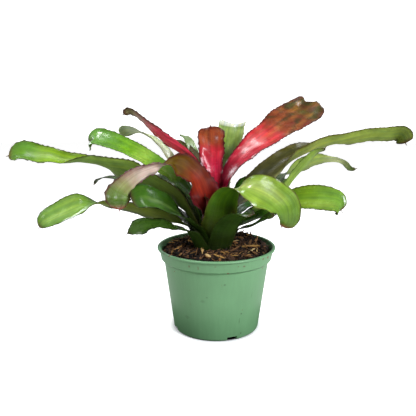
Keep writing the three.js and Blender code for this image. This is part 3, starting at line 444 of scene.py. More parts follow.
                (1, "6A9A38")], lower=GREEN_LOWER, edge="5A5A24", tip="5A3A1E", spines=1.4, skew=-0.5,
         bands=[("upper", -0.4, 0.35, "B4CC60", 0.5, 0.5, 0.95)]),
    dict(name="leaf_low_left", slot="leaf_green", ring=8, heading=196, width=17, wrap=44, square=2.4,
         route=[(54, 150), (76, 160), (100, 169), (125, 176), (144, 179), (160, 180), (177, 178),
                (194, 172), (209, 166), (220, 160), (227, 152)],
         roll=[(0, 0), (0.35, 35), (0.6, 35), (0.78, -30), (1, -40)],
         fold=[(0, 30), (0.5, 24), (1, 10)],
         girth=[(0, 1.2), (0.3, 0.9), (0.6, 0.6), (0.8, 1), (1, 0.85)],
         left=[(0.2, 1), (0.35, 1.4), (0.5, 1.5), (0.62, 1.2), (0.7, 1), (0.8, 1.25), (0.92, 1),
               (1, 0.7)], right=[(0.66, 1), (0.8, 1.3), (0.92, 1.05), (1, 0.75)],
         lean=[(0.2, 0, 0, 0), (0.4, 0, 0, -4), (0.6, 0, 0, -2), (0.7, 0, 0, 0)],
         upper=[(0, "1E2E10"), (0.3, "34541C"), (0.5, "4C6A19"), (0.7, "7AA848"), (0.8, "98C060"),
                (0.92, "86B450"), (1, "7AA848")],
         lower=[(0, "2A3412"), (0.3, "566420"), (0.5, "76882A"), (0.66, "869638"), (0.78, "7C9C48"),
                (1, "86A858")], edge="33401A", tip="5A3A22", droop=0.1,
         bands=[("lower", -0.6, 0.3, "2E3E12", 0.8, 0.2, 0.7),
                # The pale upper band near the tip is a painted highlight.
                ("upper", 0.2, 0.35, "B8D88A", 0.6, 0.78, 1)]),
    dict(BACK_LEAF, name="leaf_back_far_right", ring=8, heading=58, width=16, wrap=40, square=2.4,
         route=[(50, 154), (74, 168), (102, 176), (130, 177), (150, 170)],
         roll=[(0, 0), (1, 6)]),
    dict(BACK_LEAF, name="leaf_back_left", ring=9, heading=134, width=16, wrap=44, square=2.4,
         route=[(46, 156), (58, 176), (76, 191), (100, 200), (124, 202)],
         roll=[(0, 0), (0.4, -30), (1, -35)], upper=DARK_UPPER, lower=DARK_LOWER, edge="24321A"),
    dict(name="leaf_low_right", slot="leaf_dark", ring=9, heading=330, width=10, wrap=40, square=2.2,
         route=[(54, 147), (66, 153.5), (78, 161), (88, 168)],
         roll=[(0, 0), (0.5, 10), (1, 20)], fold=NARROW_FOLD, girth=FULL_GIRTH, upper=DARK_UPPER,
         lower=DARK_LOWER, edge="24321A"),
    dict(name="leaf_front_centre", slot="leaf_dark", ring=10, heading=291, width=18, wrap=42,
         square=2.4,
         route=[(46, 152, 2), (58, 165, 7), (69, 172, 14), (78, 175, 21)],
         roll=[(0, 0), (0.5, 10), (1, 20)], fold=[(0, 30), (0.5, 40), (1, 20)],
         girth=[(0, 1.05), (0.4, 1), (1, 0.9)], upper=DARK_UPPER,
         lower=[(0, "1A220C"), (0.3, "26380F"), (0.6, "32501A"), (0.8, "3E621E"), (1, "446828")],
         edge="2E4418"),
    dict(name="leaf_thin_left", slot="leaf_dark", ring=10, heading=148, width=10, wrap=42, square=1.6,
         route=[(66, 154), (100, 170), (136, 184), (170, 191), (200, 191), (224, 180)],
         roll=FLAT_ROLL, fold=[(0, 30), (0.6, 40), (1, 40)],
         girth=[(0, 2), (0.2, 1.2), (0.5, 1), (0.8, 0.7), (1, 0.3)], left=TIP_SWELL, right=TIP_SWELL,
         upper=DARK_UPPER, lower=DARK_LOWER, edge="3A3A1E", tip="A08078"),
    dict(name="leaf_small_left", slot="leaf_dark", ring=11, heading=212, width=14, wrap=50, square=1.35,
         route=[(56, 145), (70, 151), (86, 155), (101, 155), (115, 151), (129, 146)],
         roll=[(0, 0), (0.4, 25), (0.6, -20), (1, -40)],
         twist=[(0.22, 0), (0.36, -52), (0.5, -38), (0.6, -20), (0.8, -8)],
         fold=[(0, 30), (0.5, 30), (1, 12)],
         girth=[(0, 1.9), (0.25, 1.5), (0.5, 0.45), (0.68, 0.5), (0.85, 0.8), (1, 0.8)],
         left=NECK_SWELL, right=NECK_SWELL,
         upper=[(0, "1E2E10"), (0.4, "34541C"), (0.7, "3E5E24"), (1, "446428")],
         lower=[(0, "22300F"), (0.3, "3A5A20"), (0.6, "4A7030"), (1, "4E7034")], edge="1E2A12",
         tip="3A2A1A", droop=0.05),
    dict(BACK_LEAF, name="leaf_back_low", slot="leaf_dark", ring=11, heading=80, width=16, wrap=44,
         square=2.4,
         route=[(62, 147), (88, 155), (114, 156), (138, 149)],
         roll=[(0, 0), (1, -6)], girth=[(0, 1.5), (0.3, 1.1), (0.6, 1), (1, 0.9)], upper=DARK_UPPER,
         lower=DARK_LOWER, edge="24321A"),
]


# ---------------------------------------------------------------- helpers

def linear(colour):
    """An sRGB hex colour as linear red, green, blue and alpha."""
    channels = [int(colour[at:at + 2], 16) / 255 for at in (0, 2, 4)]
    return [c / 12.92 if c <= 0.04045 else ((c + 0.055) / 1.055) ** 2.4 for c in channels] + [1.0]


def smooth(low, high, value):
    """0 below low, 1 above high, and an eased step between them."""
    step = min(1.0, max(0.0, (value - low) / (high - low)))
    return step * step * (3 - 2 * step)


def along(pairs, share):
    """A number or vector read from [share, value] pairs, eased between them."""
    low = pairs[0]
    for high in pairs:
        if share <= high[0]:
            step = smooth(low[0], high[0], share) if high[0] > low[0] else 0
            return low[1] + (high[1] - low[1]) * step
        low = high
    return low[1]


def deselect():
    """Leaves edit mode and deselects everything, the frame's nodes among it."""
    if bpy.context.object and bpy.context.object.mode != "OBJECT":
        bpy.ops.object.mode_set(mode="OBJECT")
    bpy.ops.object.select_all(action="DESELECT")


def add_modifier(piece, kind, **settings):
    """Adds a modifier to a piece, sets it and applies it."""
    bpy.context.view_layer.objects.active = piece
    piece.select_set(True)
    bpy.ops.object.modifier_add(type=kind)
    modifier = piece.modifiers[-1]
    for key, value in settings.items():
        setattr(modifier, key, value)
    bpy.ops.object.modifier_apply(modifier=modifier.name)


def smooth_faces(piece, degrees):
    """Shades a piece smooth wherever its faces meet at less than an angle."""
    deselect()
    piece.select_set(True)
    bpy.context.view_layer.objects.active = piece
    bpy.ops.object.shade_smooth_by_angle(angle=math.radians(degrees))


def finish_piece(piece, name, slot, nodes, *materials):
    """Names a finished piece, gives it its materials and puts it in place of its nodes."""
    piece.name = name
    piece.data.name = name
    for material in materials:
        piece.data.materials.append(material)
    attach(piece, "root")
    if nodes:
        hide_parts(*nodes)


def add_node(tree, kind, inputs=None, stops=(), **settings):
    """Adds a shader node with its settings, colour stops, socket values and links.

    A node given for a socket stands for its first output.
    """
    node = tree.nodes.new("ShaderNode" + kind)
    for key, value in settings.items():
        setattr(node, key, value)
    for index, (place, colour) in enumerate(stops):
        elements = node.color_ramp.elements
        element = elements[index] if index < len(elements) else elements.new(place)
        element.position = place
        element.color = linear(colour)
    for key, value in (inputs or {}).items():
        if isinstance(value, bpy.types.Node):
            value = value.outputs[0]
        if isinstance(value, bpy.types.NodeSocket):
            tree.links.new(value, node.inputs[key])
        else:
            node.inputs[key].default_value = value
    return node


def new_material(name):
    """A material with an empty node tree, and the tree."""
    material = bpy.data.materials.new(name)
    material.use_nodes = True
    material.node_tree.nodes.clear()
    return material, material.node_tree


# ---------------------------------------------------------------- materials

def leaf_material(name, roughness, specular, coat, scurf, streaks):
    """Living leaf with a wax cuticle: glossy, with fine lengthwise veins and, below, grey scurf.

    The wax gives broad soft highlights. The tint comes from the blade's own colour attribute.
    """
    material, tree = new_material(name)
    face = name.split("_")[-1]
    uv = add_node(tree, "UVMap", uv_map="UVMap")
    place = add_node(tree, "TexCoord").outputs["Object"]
    colour = add_node(tree, "Attribute", attribute_name=face + "_tint")
    # UV runs 0 to 1 across the blade and in decimetres along it.
    vein_place = add_node(tree, "VectorMath", {0: uv, 1: (26, 0.9, 0)}, operation="MULTIPLY")
    veins = add_node(tree, "TexNoise", {"Vector": vein_place, "Scale": 1.0, "Detail": 3.0})
    band_place = add_node(tree, "VectorMath", {0: uv, 1: (1.2, 34, 0)}, operation="MULTIPLY")
    bands = add_node(tree, "TexNoise", {"Vector": band_place, "Scale": 1.0, "Detail": 2.0})
    # Cloudy patches about 12 mm across.
    clouds = add_node(tree, "TexNoise", {"Vector": place, "Scale": 80.0, "Detail": 4.0})
    # Fine speckle of scales about 1 mm across.
    speckle = add_node(tree, "TexNoise", {"Vector": place, "Scale": 900.0, "Detail": 2.0})
    vein_light = add_node(tree, "MapRange", {"Value": veins, "From Min": 0.32, "From Max": 0.68,
                                             "To Min": 0.84, "To Max": 1.12})
    cloud_light = add_node(tree, "MapRange", {"Value": clouds, "From Min": 0.35, "From Max": 0.65,
                                              "To Min": 0.88, "To Max": 1.1})
    light = add_node(tree, "Math", {0: vein_light, 1: cloud_light}, operation="MULTIPLY")
    # Broad streaks, a few millimetres wide, where the leaf is yellower or paler.
    streak_place = add_node(tree, "VectorMath", {0: uv, 1: (7, 1.6, 0)}, operation="MULTIPLY")
    streak = add_node(tree, "TexNoise", {"Vector": streak_place, "Scale": 1.0, "Detail": 2.0})
    streak_tint = add_node(tree, "ValToRGB", {"Fac": streak}, streaks)
    streaked = add_node(tree, "VectorMath", {0: colour, 1: streak_tint}, operation="MULTIPLY")
    tinted = add_node(tree, "VectorMath", {0: streaked, "Scale": light}, operation="SCALE")
    # Scurf gathers in bands across the blade.
    grey = add_node(tree, "Math", {0: bands, 1: speckle}, operation="MULTIPLY")
    grey_share = add_node(tree, "MapRange", {"Value": grey, "From Min": 0.2, "From Max": 0.42,
                                             "To Min": 0.0, "To Max": scurf})
    dusted = add_node(tree, "Mix", {0: grey_share, 6: tinted, 7: linear("B9BFAE")},
                      data_type="RGBA").outputs[2]
    gloss = add_node(tree, "MapRange", {"Value": clouds, "From Min": 0.3, "From Max": 0.7,
                                        "To Min": roughness - 0.07, "To Max": roughness + 0.1})
    relief = add_node(tree, "Bump", {"Height": veins, "Strength": 0.35, "Distance": 0.4 * MM})
    shader = add_node(tree, "BsdfPrincipled", {"Base Color": dusted, "Roughness": gloss, "Normal": relief,
                                               "IOR": 1.42, "Specular IOR Level": specular,
                                               "Coat Weight": coat, "Coat Roughness": 0.15,
                                               "Subsurface Weight": 0.3,
                                               "Subsurface Radius": (1.0, 1.0, 0.7),
                                               "Subsurface Scale": 1.2 * MM})
    add_node(tree, "OutputMaterial", {"Surface": shader})
    return material


def pot_material(settings):
    """Injection-moulded polypropylene: satin, faintly cloudy, with rubbed streaks and soil specks."""
    material, tree = new_material("moulded_polypropylene")
    place = add_node(tree, "TexCoord").outputs["Object"]
    split = add_node(tree, "SeparateXYZ", {"Vector": place})
    clouds = add_node(tree, "TexNoise", {"Vector": place, "Scale": 28.0, "Detail": 5.0})
    # Vertical rubs from stacking, a few millimetres apart.
    tall = add_node(tree, "VectorMath", {0: place, 1: (260, 260, 9)}, operation="MULTIPLY")
    rubs = add_node(tree, "TexNoise", {"Vector": tall, "Scale": 1.0, "Detail": 3.0})
    mottle = add_node(tree, "Math", {0: clouds, 1: rubs}, operation="ADD")
    shade = add_node(tree, "MapRange", {"Value": mottle, "From Min": 0.7, "From Max": 1.3, "To Min": 0.94,
                                        "To Max": 1.05})
    plastic = add_node(tree, "VectorMath", {0: tuple(settings.colour), "Scale": shade}, operation="SCALE")
    # Specks of soil in two out of five 7 mm cells, up to 4 mm across by the rim and a third of it below.
    specks = add_node(tree, "TexVoronoi", {"Vector": place, "Scale": 150.0, "Randomness": 1.0})
    drawn = add_node(tree, "SeparateColor", {"Color": specks.outputs["Color"]})
    size = add_node(tree, "MapRange", {"Value": drawn.outputs["Red"], "From Min": 0.62, "From Max": 1.0,
                                       "To Min": 0.0, "To Max": 0.3})
    near_rim = add_node(tree, "MapRange", {"Value": split.outputs["Z"], "From Min": 85 * MM,
                                           "From Max": 100 * MM, "To Min": 0.35, "To Max": 1.0})
    reach = add_node(tree, "Math", {0: near_rim, 1: size}, operation="MULTIPLY")
    dirt = add_node(tree, "Math", {0: specks, 1: reach}, operation="LESS_THAN")
    dusted = add_node(tree, "Mix", {0: dirt, 6: plastic, 7: linear("7A4A34")},
                      data_type="RGBA").outputs[2]
    ragged = add_node(tree, "TexNoise", {"Vector": place, "Scale": 420.0, "Detail": 3.0})
    # Dust of the bark mix on the inside of the band.
    flat = add_node(tree, "VectorMath", {0: place, 1: (1, 1, 0)}, operation="MULTIPLY")
    reach = add_node(tree, "VectorMath", {0: flat}, operation="LENGTH")
    inside = add_node(tree, "MapRange", {"Value": reach.outputs["Value"],
                                         "From Min": (BAND_LOW_RADIUS - WALL + 0.6) * MM,
                                         "From Max": (BAND_LOW_RADIUS - 0.3) * MM, "To Min": 0.75,
                                         "To Max": 0.0})
    high = add_node(tree, "Math", {0: split.outputs["Z"], 1: (BAND_LEVEL + 1) * MM},
                    operation="GREATER_THAN")
    dust = add_node(tree, "Math", {0: inside, 1: high}, operation="MULTIPLY")
    dusted = add_node(tree, "Mix", {0: dust, 6: dusted, 7: linear("33291C")}, data_type="RGBA").outputs[2]
    # Each mark is a ragged spot.
    for angle, height, half_wide, half_tall, strength in POT_MARKS:
        on_band = height > SHOULDER_LEVEL
        radius = (BAND_LOW_RADIUS + BAND_TOP_RADIUS) / 2 if on_band else outer_radius(height)
        turn = math.radians(angle)
        centre = Vector((radius * math.cos(turn), radius * math.sin(turn), height)) * MM
        off = add_node(tree, "VectorMath", {0: place, 1: centre}, operation="SUBTRACT")
        shrink = (1 / half_wide / MM, 1 / half_wide / MM, 1 / half_tall / MM)
        sized = add_node(tree, "VectorMath", {0: off, 1: shrink}, operation="MULTIPLY")
        away = add_node(tree, "VectorMath", {0: sized}, operation="LENGTH")
        torn = add_node(tree, "Math", {0: away.outputs["Value"], 1: ragged}, operation="ADD")
        cover = add_node(tree, "MapRange", {"Value": torn, "From Min": 0.9, "From Max": 1.5,
                                            "To Min": strength, "To Max": 0.0})
        mark = linear(SMEAR_COLOUR if on_band else RUB_COLOUR)
        dusted = add_node(tree, "Mix", {0: cover, 6: dusted, 7: mark}, data_type="RGBA").outputs[2]
    rough = add_node(tree, "MapRange", {"Value": mottle, "From Min": 0.7, "From Max": 1.3, "To Min": 0.32,
                                        "To Max": 0.46})
    # The mould's fine grain, under a millimetre.
    fine = add_node(tree, "TexNoise", {"Vector": place, "Scale": 1400.0, "Detail": 1.0})
    relief = add_node(tree, "Bump", {"Height": fine, "Strength": 0.12, "Distance": 0.1 * MM})
    shader = add_node(tree, "BsdfPrincipled", {"Base Color": dusted, "Roughness": rough, "Normal": relief,
                                               "IOR": 1.49})
    add_node(tree, "OutputMaterial", {"Surface": shader})
    return material


def bark_material(name):
    """Composted bark and wood: dull and fibrous, each chip its own brown."""
    material, tree = new_material(name)
    place = add_node(tree, "TexCoord").outputs["Object"]
    tint = add_node(tree, "Attribute", attribute_name="chip_tint")
    # Fibre and crumb about 2 mm across.
    grain = add_node(tree, "TexNoise", {"Vector": place, "Scale": 520.0, "Detail": 4.0})
    blend = add_node(tree, "Math", {0: grain, 1: 0.35}, operation="MULTIPLY")
    value = add_node(tree, "Math", {0: tint.outputs["Fac"], 1: blend}, operation="ADD")
    lowered = add_node(tree, "Math", {0: value, 1: 0.17}, operation="SUBTRACT")
    browns = add_node(tree, "ValToRGB", {"Fac": lowered}, BARK_BROWNS)
    relief = add_node(tree, "Bump", {"Height": grain, "Strength": 0.7, "Distance": 0.6 * MM})
    shader = add_node(tree, "BsdfPrincipled", {"Base Color": browns, "Roughness": 0.88, "Normal": relief,
                                               "IOR": 1.4})
    add_node(tree, "OutputMaterial", {"Surface": shader})
    return material


def stem_material():
    """Fibrous stem bark with old leaf scars: dull olive brown in rings."""
    material, tree = new_material("fibrous_stem")
    place = add_node(tree, "TexCoord").outputs["Object"]
    rings = add_node(tree, "TexWave", {"Vector": place, "Scale": 90.0, "Distortion": 3.0},
                     bands_direction="Z")
    browns = add_node(tree, "ValToRGB", {"Fac": rings.outputs["Fac"]}, [(0, "2A2616"), (0.6, "4F4A2C"),
                                                                        (1, "6A603C")])
    relief = add_node(tree, "Bump", {"Height": rings.outputs["Fac"], "Strength": 0.5,
                                     "Distance": 0.5 * MM})
    shader = add_node(tree, "BsdfPrincipled", {"Base Color": browns, "Roughness": 0.8, "Normal": relief})
    add_node(tree, "OutputMaterial", {"Surface": shader})
    return material


def floor_material(settings):
    """White opal acrylic lit from below: a plain pale ground whose shadows stay faint, with painted shade
    under the pot's foot and a painted shadow round it.
    """
    material, tree = new_material("opal_acrylic")
    place = add_node(tree, "TexCoord").outputs["Object"]
    haze = add_node(tree, "TexNoise", {"Vector": place, "Scale": 30.0, "Detail": 2.0})
    light = add_node(tree, "MapRange", {"Value": haze, "To Min": 0.985, "To Max": 1.0})
    # Painted shade: beneath the pot's foot the floor's colour goes almost black, and its glow fades out
    # near the foot as a painted shadow.
    away = add_node(tree, "VectorMath", {0: place}, operation="LENGTH")
    painted_shade_factor = add_node(tree, "MapRange", {"Value": away.outputs["Value"],
                                           "From Min": (BASE_RADIUS - 4) * MM,
                                           "From Max": (BASE_RADIUS - 1) * MM, "To Min": 0.01})
    shaded = add_node(tree, "Math", {0: light, 1: painted_shade_factor}, operation="MULTIPLY")
    ground = add_node(tree, "VectorMath", {0: tuple(settings.floor_colour), "Scale": shaded},
                      operation="SCALE")
    # Painted shadow: the glow rises from nothing at the pot's foot to full strength outside it.
    glow_with_painted_shadow = add_node(tree, "MapRange", {"Value": away.outputs["Value"], "From Min": (BASE_RADIUS - 4) * MM,
                                      "From Max": (BASE_RADIUS + 9) * MM, "To Min": 0.0,
                                      "To Max": settings.under_light}, interpolation_type="SMOOTHSTEP")
    shader = add_node(tree, "BsdfPrincipled", {"Base Color": ground, "Roughness": 0.9,
                                               "Specular IOR Level": 0.0, "Emission Color": ground,
                                               "Emission Strength": glow_with_painted_shadow})
    add_node(tree, "OutputMaterial", {"Surface": shader})
    return material


def card_material():
    """Matt grey card: takes light and sends little back, with the faint flecks of its pulp."""
    material, tree = new_material("grey_card")
    place = add_node(tree, "TexCoord").outputs["Object"]
    pulp = add_node(tree, "TexNoise", {"Vector": place, "Scale": 200.0, "Detail": 2.0})
    greys = add_node(tree, "ValToRGB", {"Fac": pulp}, [(0.3, "6A6A6A"), (0.7, "727272")])
    shader = add_node(tree, "BsdfPrincipled", {"Base Color": greys, "Roughness": 0.9})
    add_node(tree, "OutputMaterial", {"Surface": shader})
    return material


def backdrop_material():
    """White cotton backdrop lit evenly from behind: matt, and as bright as white can be."""
    material, tree = new_material("lit_backdrop_cloth")
    place = add_node(tree, "TexCoord").outputs["Object"]
    cotton = add_node(tree, "TexNoise", {"Vector": place, "Scale": 40.0, "Detail": 2.0})
    whites = add_node(tree, "ValToRGB", {"Fac": cotton}, [(0.3, "F1F1F1"), (0.7, "F5F5F5")])
    shader = add_node(tree, "BsdfPrincipled", {"Base Color": whites, "Roughness": 0.9,
                                               "Emission Color": (1, 1, 1, 1), "Emission Strength": 1.0})
    add_node(tree, "OutputMaterial", {"Surface": shader})
    return material


# ---------------------------------------------------------------- turned shapes

def arc(centre_radius, centre_height, radius, start, end, steps):
    """Points of an arc in an outline, angles in degrees from outwards, turning upwards."""
    points = []
    for step in range(steps + 1):
        angle = math.radians(start + (end - start) * step / steps)
        points.append((centre_radius + radius * math.cos(angle), centre_height + radius * math.sin(angle)))
    return points


def turned(outline, sides):
    """A closed solid of revolution: a ring pulled in edit mode from point to point of an outline."""
    deselect()
    radius, height = outline[0]
    bpy.ops.mesh.primitive_circle_add(vertices=sides, radius=radius * MM, fill_type="NGON",
                                      location=(0, 0, height * MM))
    piece = bpy.context.object
    bpy.ops.object.transform_apply(location=True)
    bpy.ops.object.mode_set(mode="EDIT")
    bpy.ops.mesh.select_mode(type="EDGE")
    bpy.ops.mesh.select_all(action="SELECT")
    for new_radius, new_height in outline[1:]:
        bpy.ops.mesh.extrude_edges_move(
            TRANSFORM_OT_translate={"value": (0, 0, (new_height - height) * MM)})
        scale = new_radius / radius
        bpy.ops.transform.resize(value=(scale, scale, 1), center_override=(0, 0, 0))
        radius, height = new_radius, new_height
    bpy.ops.mesh.edge_face_add()
    bpy.ops.mesh.select_all(action="SELECT")
    bpy.ops.mesh.normals_make_consistent(inside=False)
    bpy.ops.object.mode_set(mode="OBJECT")
    return piece


def cut(piece, cutter):
    """Takes the cutter's shape out of the piece."""
    deselect()
    add_modifier(piece, "BOOLEAN", operation="DIFFERENCE", solver="EXACT", object=cutter)
    bpy.data.objects.remove(cutter)


def place_at(angle, out, up):
    """Where a cutter stands: turned to an angle round the pot's axis, out from it and up."""
    turn = math.radians(angle)
    return dict(location=(out * MM * math.cos(turn), out * MM * math.sin(turn), up * MM),
                rotation=(0, 0, turn))


def outer_radius(height):
    """Radius of the pot's outside at a height, up to the step under its band."""
    rise = min(1.0, max(0.0, height / SHOULDER_LEVEL))
    return BASE_RADIUS + (SHOULDER_RADIUS - BASE_RADIUS) * rise


def inner_radius(height):
    """Radius of the pot's inside at a height, up to the step under its band."""
    return outer_radius(height) - WALL


def pot_outline():
    """The pot's wall, from the centre of its underside up the outside and down the inside."""
    lip = POT_HEIGHT - 2 * LIP_BEAD
    foot = BASE_RADIUS - FOOT_RING_WIDTH
    # The underside: a centre pad, the raised floor and the foot ring.
    outside = [(AXIS_GAP, 0), (9, 0), (CENTRE_PAD_RADIUS - 0.6, 0), (CENTRE_PAD_RADIUS, 0.3),
               (CENTRE_PAD_RADIUS + FLOOR_RISE, FLOOR_RISE), (foot - 2, FLOOR_RISE), (foot - 0.3, 0.3),
               (foot, 0)]
    outside += arc(BASE_RADIUS - CORNER_RADIUS, CORNER_RADIUS, CORNER_RADIUS, -90, -4, 7)
    # The tapered wall, the step out to the band, the band and its lip.
    for step in range(1, 13):
        rise = step / 12
        outside.append((BASE_RADIUS + (SHOULDER_RADIUS - BASE_RADIUS) * rise,
                        CORNER_RADIUS + (SHOULDER_LEVEL - 0.9 - CORNER_RADIUS) * rise))
    outside += arc(SHOULDER_RADIUS + STEP_LOW_CURVE, SHOULDER_LEVEL - 0.9, STEP_LOW_CURVE, 170, 120, 4)
    outside += arc(BAND_LOW_RADIUS - STEP_HIGH_CURVE, BAND_LEVEL + 0.3, STEP_HIGH_CURVE, -60, 0, 5)
    for step in range(1, 5):
        rise = step / 4
        outside.append((BAND_LOW_RADIUS + (BAND_TOP_RADIUS - BAND_LOW_RADIUS) * rise,
                        BAND_LEVEL + 0.3 + (lip - 0.8 - BAND_LEVEL) * rise))
    bead = RIM_RADIUS - LIP_BEAD
    outside += arc(bead, POT_HEIGHT - LIP_BEAD, LIP_BEAD, -80, 90, 12)
    # Down the inside, with a rounded corner at the floor.
    inside = arc(bead - 1.2, POT_HEIGHT - 1.4, 1.4, 95, 180, 6)
    inside += [(BAND_TOP_RADIUS - WALL, lip - 1), (BAND_LOW_RADIUS - WALL + 0.3, BAND_LEVEL + 3),
               (BAND_LOW_RADIUS - WALL, BAND_LEVEL), (inner_radius(SHOULDER_LEVEL), SHOULDER_LEVEL)]
    for step in range(1, 7):
        height = SHOULDER_LEVEL + (FLOOR_LEVEL + INNER_CORNER - SHOULDER_LEVEL) * step / 6
        inside.append((inner_radius(height), height))
    corner = (inner_radius(FLOOR_LEVEL) - INNER_CORNER, FLOOR_LEVEL + INNER_CORNER)
    inside += arc(*corner, INNER_CORNER, 0, -90, 5)[1:]
    inside += [(30, FLOOR_LEVEL), (AXIS_GAP, FLOOR_LEVEL)]
    return outside + inside


def build_pot(settings):
    """The turned pot, with its notches and drain holes cut out."""
    pot = turned(pot_outline(), sides=160)
    for index in range(NOTCH_COUNT):
        angle = NOTCH_START + index * 360 / NOTCH_COUNT
        deselect()
        bpy.ops.mesh.primitive_cube_add(size=1, **place_at(angle, BASE_RADIUS + FOOT_RING_WIDTH / 2, 0))
        notch = bpy.context.object
        notch.scale = (4 * FOOT_RING_WIDTH * MM, NOTCH_WIDTH * MM, 2 * NOTCH_HEIGHT * MM)
        add_modifier(notch, "BEVEL", width=NOTCH_CORNER * MM, segments=3, limit_method="NONE")
        cut(pot, notch)
        deselect()
        bpy.ops.mesh.primitive_cylinder_add(vertices=40, radius=DRAIN_RADIUS * MM,
                                            depth=4 * FLOOR_LEVEL * MM, **place_at(angle, DRAIN_CIRCLE, 0))
        cut(pot, bpy.context.object)
    smooth_faces(pot, degrees=32)
    finish_piece(pot, "pot_body", "pot_plastic", ["pot"], pot_material(settings))


# ---------------------------------------------------------------- soil and bark

def soil_height(x, y):
    """Height of the bark mix: level, banked up and dipped by the swells."""
    height = SOIL_LEVEL
    for at_x, at_y, rise, spread in SOIL_SWELLS:
        away = math.hypot(x - at_x, y - at_y) / spread
        height += rise * math.exp(-away * away)
    return height


def crumb(x, y):
    """Lumps of the loose surface, in millimetres up or down."""
    coarse = noise.noise(Vector((x / 6.5, y / 6.5, 3.1)))
    fine = noise.noise(Vector((x / 2.3, y / 2.3, 8.7)))
    return 2.2 * coarse + 1.3 * fine


def build_soil():
    """The bark mix: a turned plug that fills the pot, its top crumbled and banked."""
    underside = FLOOR_LEVEL + 0.35
    outline = [(AXIS_GAP, underside), (30, underside), (inner_radius(underside) - 3.4, underside),
               (inner_radius(underside + 3) - SOIL_GAP, underside + 3),
               (inner_radius(BAND_LEVEL - 4) - SOIL_GAP, BAND_LEVEL - 4), (SOIL_EDGE, BAND_LEVEL),
               (SOIL_EDGE, SOIL_LEVEL - 3)]
    for ring in range(SOIL_RINGS + 1):
        outline.append((SOIL_EDGE + (HOLE_COLLAR_RADIUS - SOIL_EDGE) * ring / SOIL_RINGS, SOIL_LEVEL))
    outline += [(HOLE_COLLAR_RADIUS - 1.6, SOIL_LEVEL - 4), (HOLE_FOOT_RADIUS, HOLE_FLOOR + 3),
                (HOLE_FOOT_RADIUS, HOLE_FLOOR), (AXIS_GAP, HOLE_FLOOR)]
    soil = turned(outline, sides=180)
    # The hole is moved over to the plant, and the top takes its crumb.
    for vertex in soil.data.vertices:
        x, y, z = (value / MM for value in vertex.co)
        radius = math.hypot(x, y)
        centring = 1 - smooth(HOLE_COLLAR_RADIUS, SOIL_EDGE, radius)
        if z > HOLE_FLOOR - 1 and radius < SOIL_EDGE - 0.1:
            x += PLANT.x * centring
            y += PLANT.y * centring
        if z > SOIL_LEVEL - 0.1:
            z = soil_height(x, y) + crumb(x, y)
        vertex.co = Vector((x, y, z)) * MM
    smooth_faces(soil, degrees=40)
    tint = soil.data.attributes.new("chip_tint", "FLOAT", "POINT")
    for vertex in soil.data.vertices:
        x, y = vertex.co.x / MM, vertex.co.y / MM
        tint.data[vertex.index].value = 0.16 + 0.1 * noise.noise(Vector((x / 5, y / 5, 0)))
    finish_piece(soil, "potting_bark", "bark_mix", ["soil"], bark_material("composted_bark"))


def chip_model(seed, narrowing, cuts):
    """One rough chip: a cube cut up and pushed about, about one unit each way."""
    deselect()
    bpy.ops.mesh.primitive_cube_add(size=1)
    model = bpy.context.object
    bpy.ops.object.mode_set(mode="EDIT")
    bpy.ops.mesh.select_all(action="SELECT")
    bpy.ops.mesh.subdivide(number_cuts=cuts, smoothness=0)
    bpy.ops.object.mode_set(mode="OBJECT")
    for vertex in model.data.vertices:
        x, y, z = vertex.co
        narrow = 1 - narrowing * abs(2 * x) ** 2
        rough = 0.16 * noise.noise_vector(Vector((x * 3 + seed, y * 3, z * 3 + seed)))
        vertex.co = Vector((x, y * narrow, z * narrow)) + rough
    return model


def strewn(name, models, places, tints, material):
    """One piece made of many copies of the chip models, each at its own place and with its own tint."""
    mesh = bpy.data.meshes.new(name)
    build = bmesh.new()
    point_tints = []
    for index, matrix in enumerate(places):
        before = len(build.verts)
        build.from_mesh(models[index % len(models)].data)
        build.verts.ensure_lookup_table()
        added = build.verts[before:]
        bmesh.ops.transform(build, matrix=matrix, verts=added)
        point_tints += [tints[index]] * len(added)
    build.to_mesh(mesh)
    build.free()
    tint = mesh.attributes.new("chip_tint", "FLOAT", "POINT")
    tint.data.foreach_set("value", point_tints)
    piece = bpy.data.objects.new(name, mesh)
    bpy.context.scene.collection.objects.link(piece)
    for model in models:
        bpy.data.objects.remove(model)
    finish_piece(piece, name, "bark_mix", [], material)


def scatter(rng, count, kind):
    """Places and tints for chips on the soil, clear of the rosette and of the wall."""
    lengths, widths, depths = kind["sizes"]
    dark, pale = kind["tints"]
    places = []
    tints = []
    while len(places) < count:
        angle = rng.uniform(0, 2 * math.pi)
        radius = math.sqrt(rng.uniform(STREWN_FROM ** 2, STREWN_TO ** 2))
        x = PLANT.x * (1 - radius / STREWN_TO) + radius * math.cos(angle)
        y = PLANT.y * (1 - radius / STREWN_TO) + radius * math.sin(angle)
        length = rng.uniform(*lengths)
        if math.hypot(x, y) + length * 0.35 > SOIL_EDGE:
            continue
        front = 0.5 - 0.5 * math.sin(angle)
        if rng.random() < kind["front"] * (1 - front ** 1.5):
            continue
        width = rng.uniform(*widths)
        depth = rng.uniform(*depths)
        z = soil_height(x, y) + crumb(x, y) + rng.uniform(*kind["lift"])
        turn = Euler((rng.gauss(0, kind["tilt"]), rng.gauss(0, kind["tilt"]), rng.uniform(0, math.pi)))
        size = Vector((length, width, depth)) * MM
        places.append(Matrix.LocRotScale(Vector((x, y, z)) * MM, turn, size))
        tints.append(dark + (pale - dark) * rng.random() ** 1.4)
    return places, tints


def build_bark(settings):
    """The chips, fibres and slivers, in that order, from one seeded draw."""
    rng = random.Random(settings.seed)
    for kind in STREWN:
        models = [chip_model(number * kind["step"] + kind["first"], kind["narrowing"], kind["cuts"])
                  for number in range(kind["models"])]
        places, tints = scatter(rng, getattr(settings, kind["count"]), kind)
        strewn(kind["name"], models, places, tints, bark_material(kind["material"]))


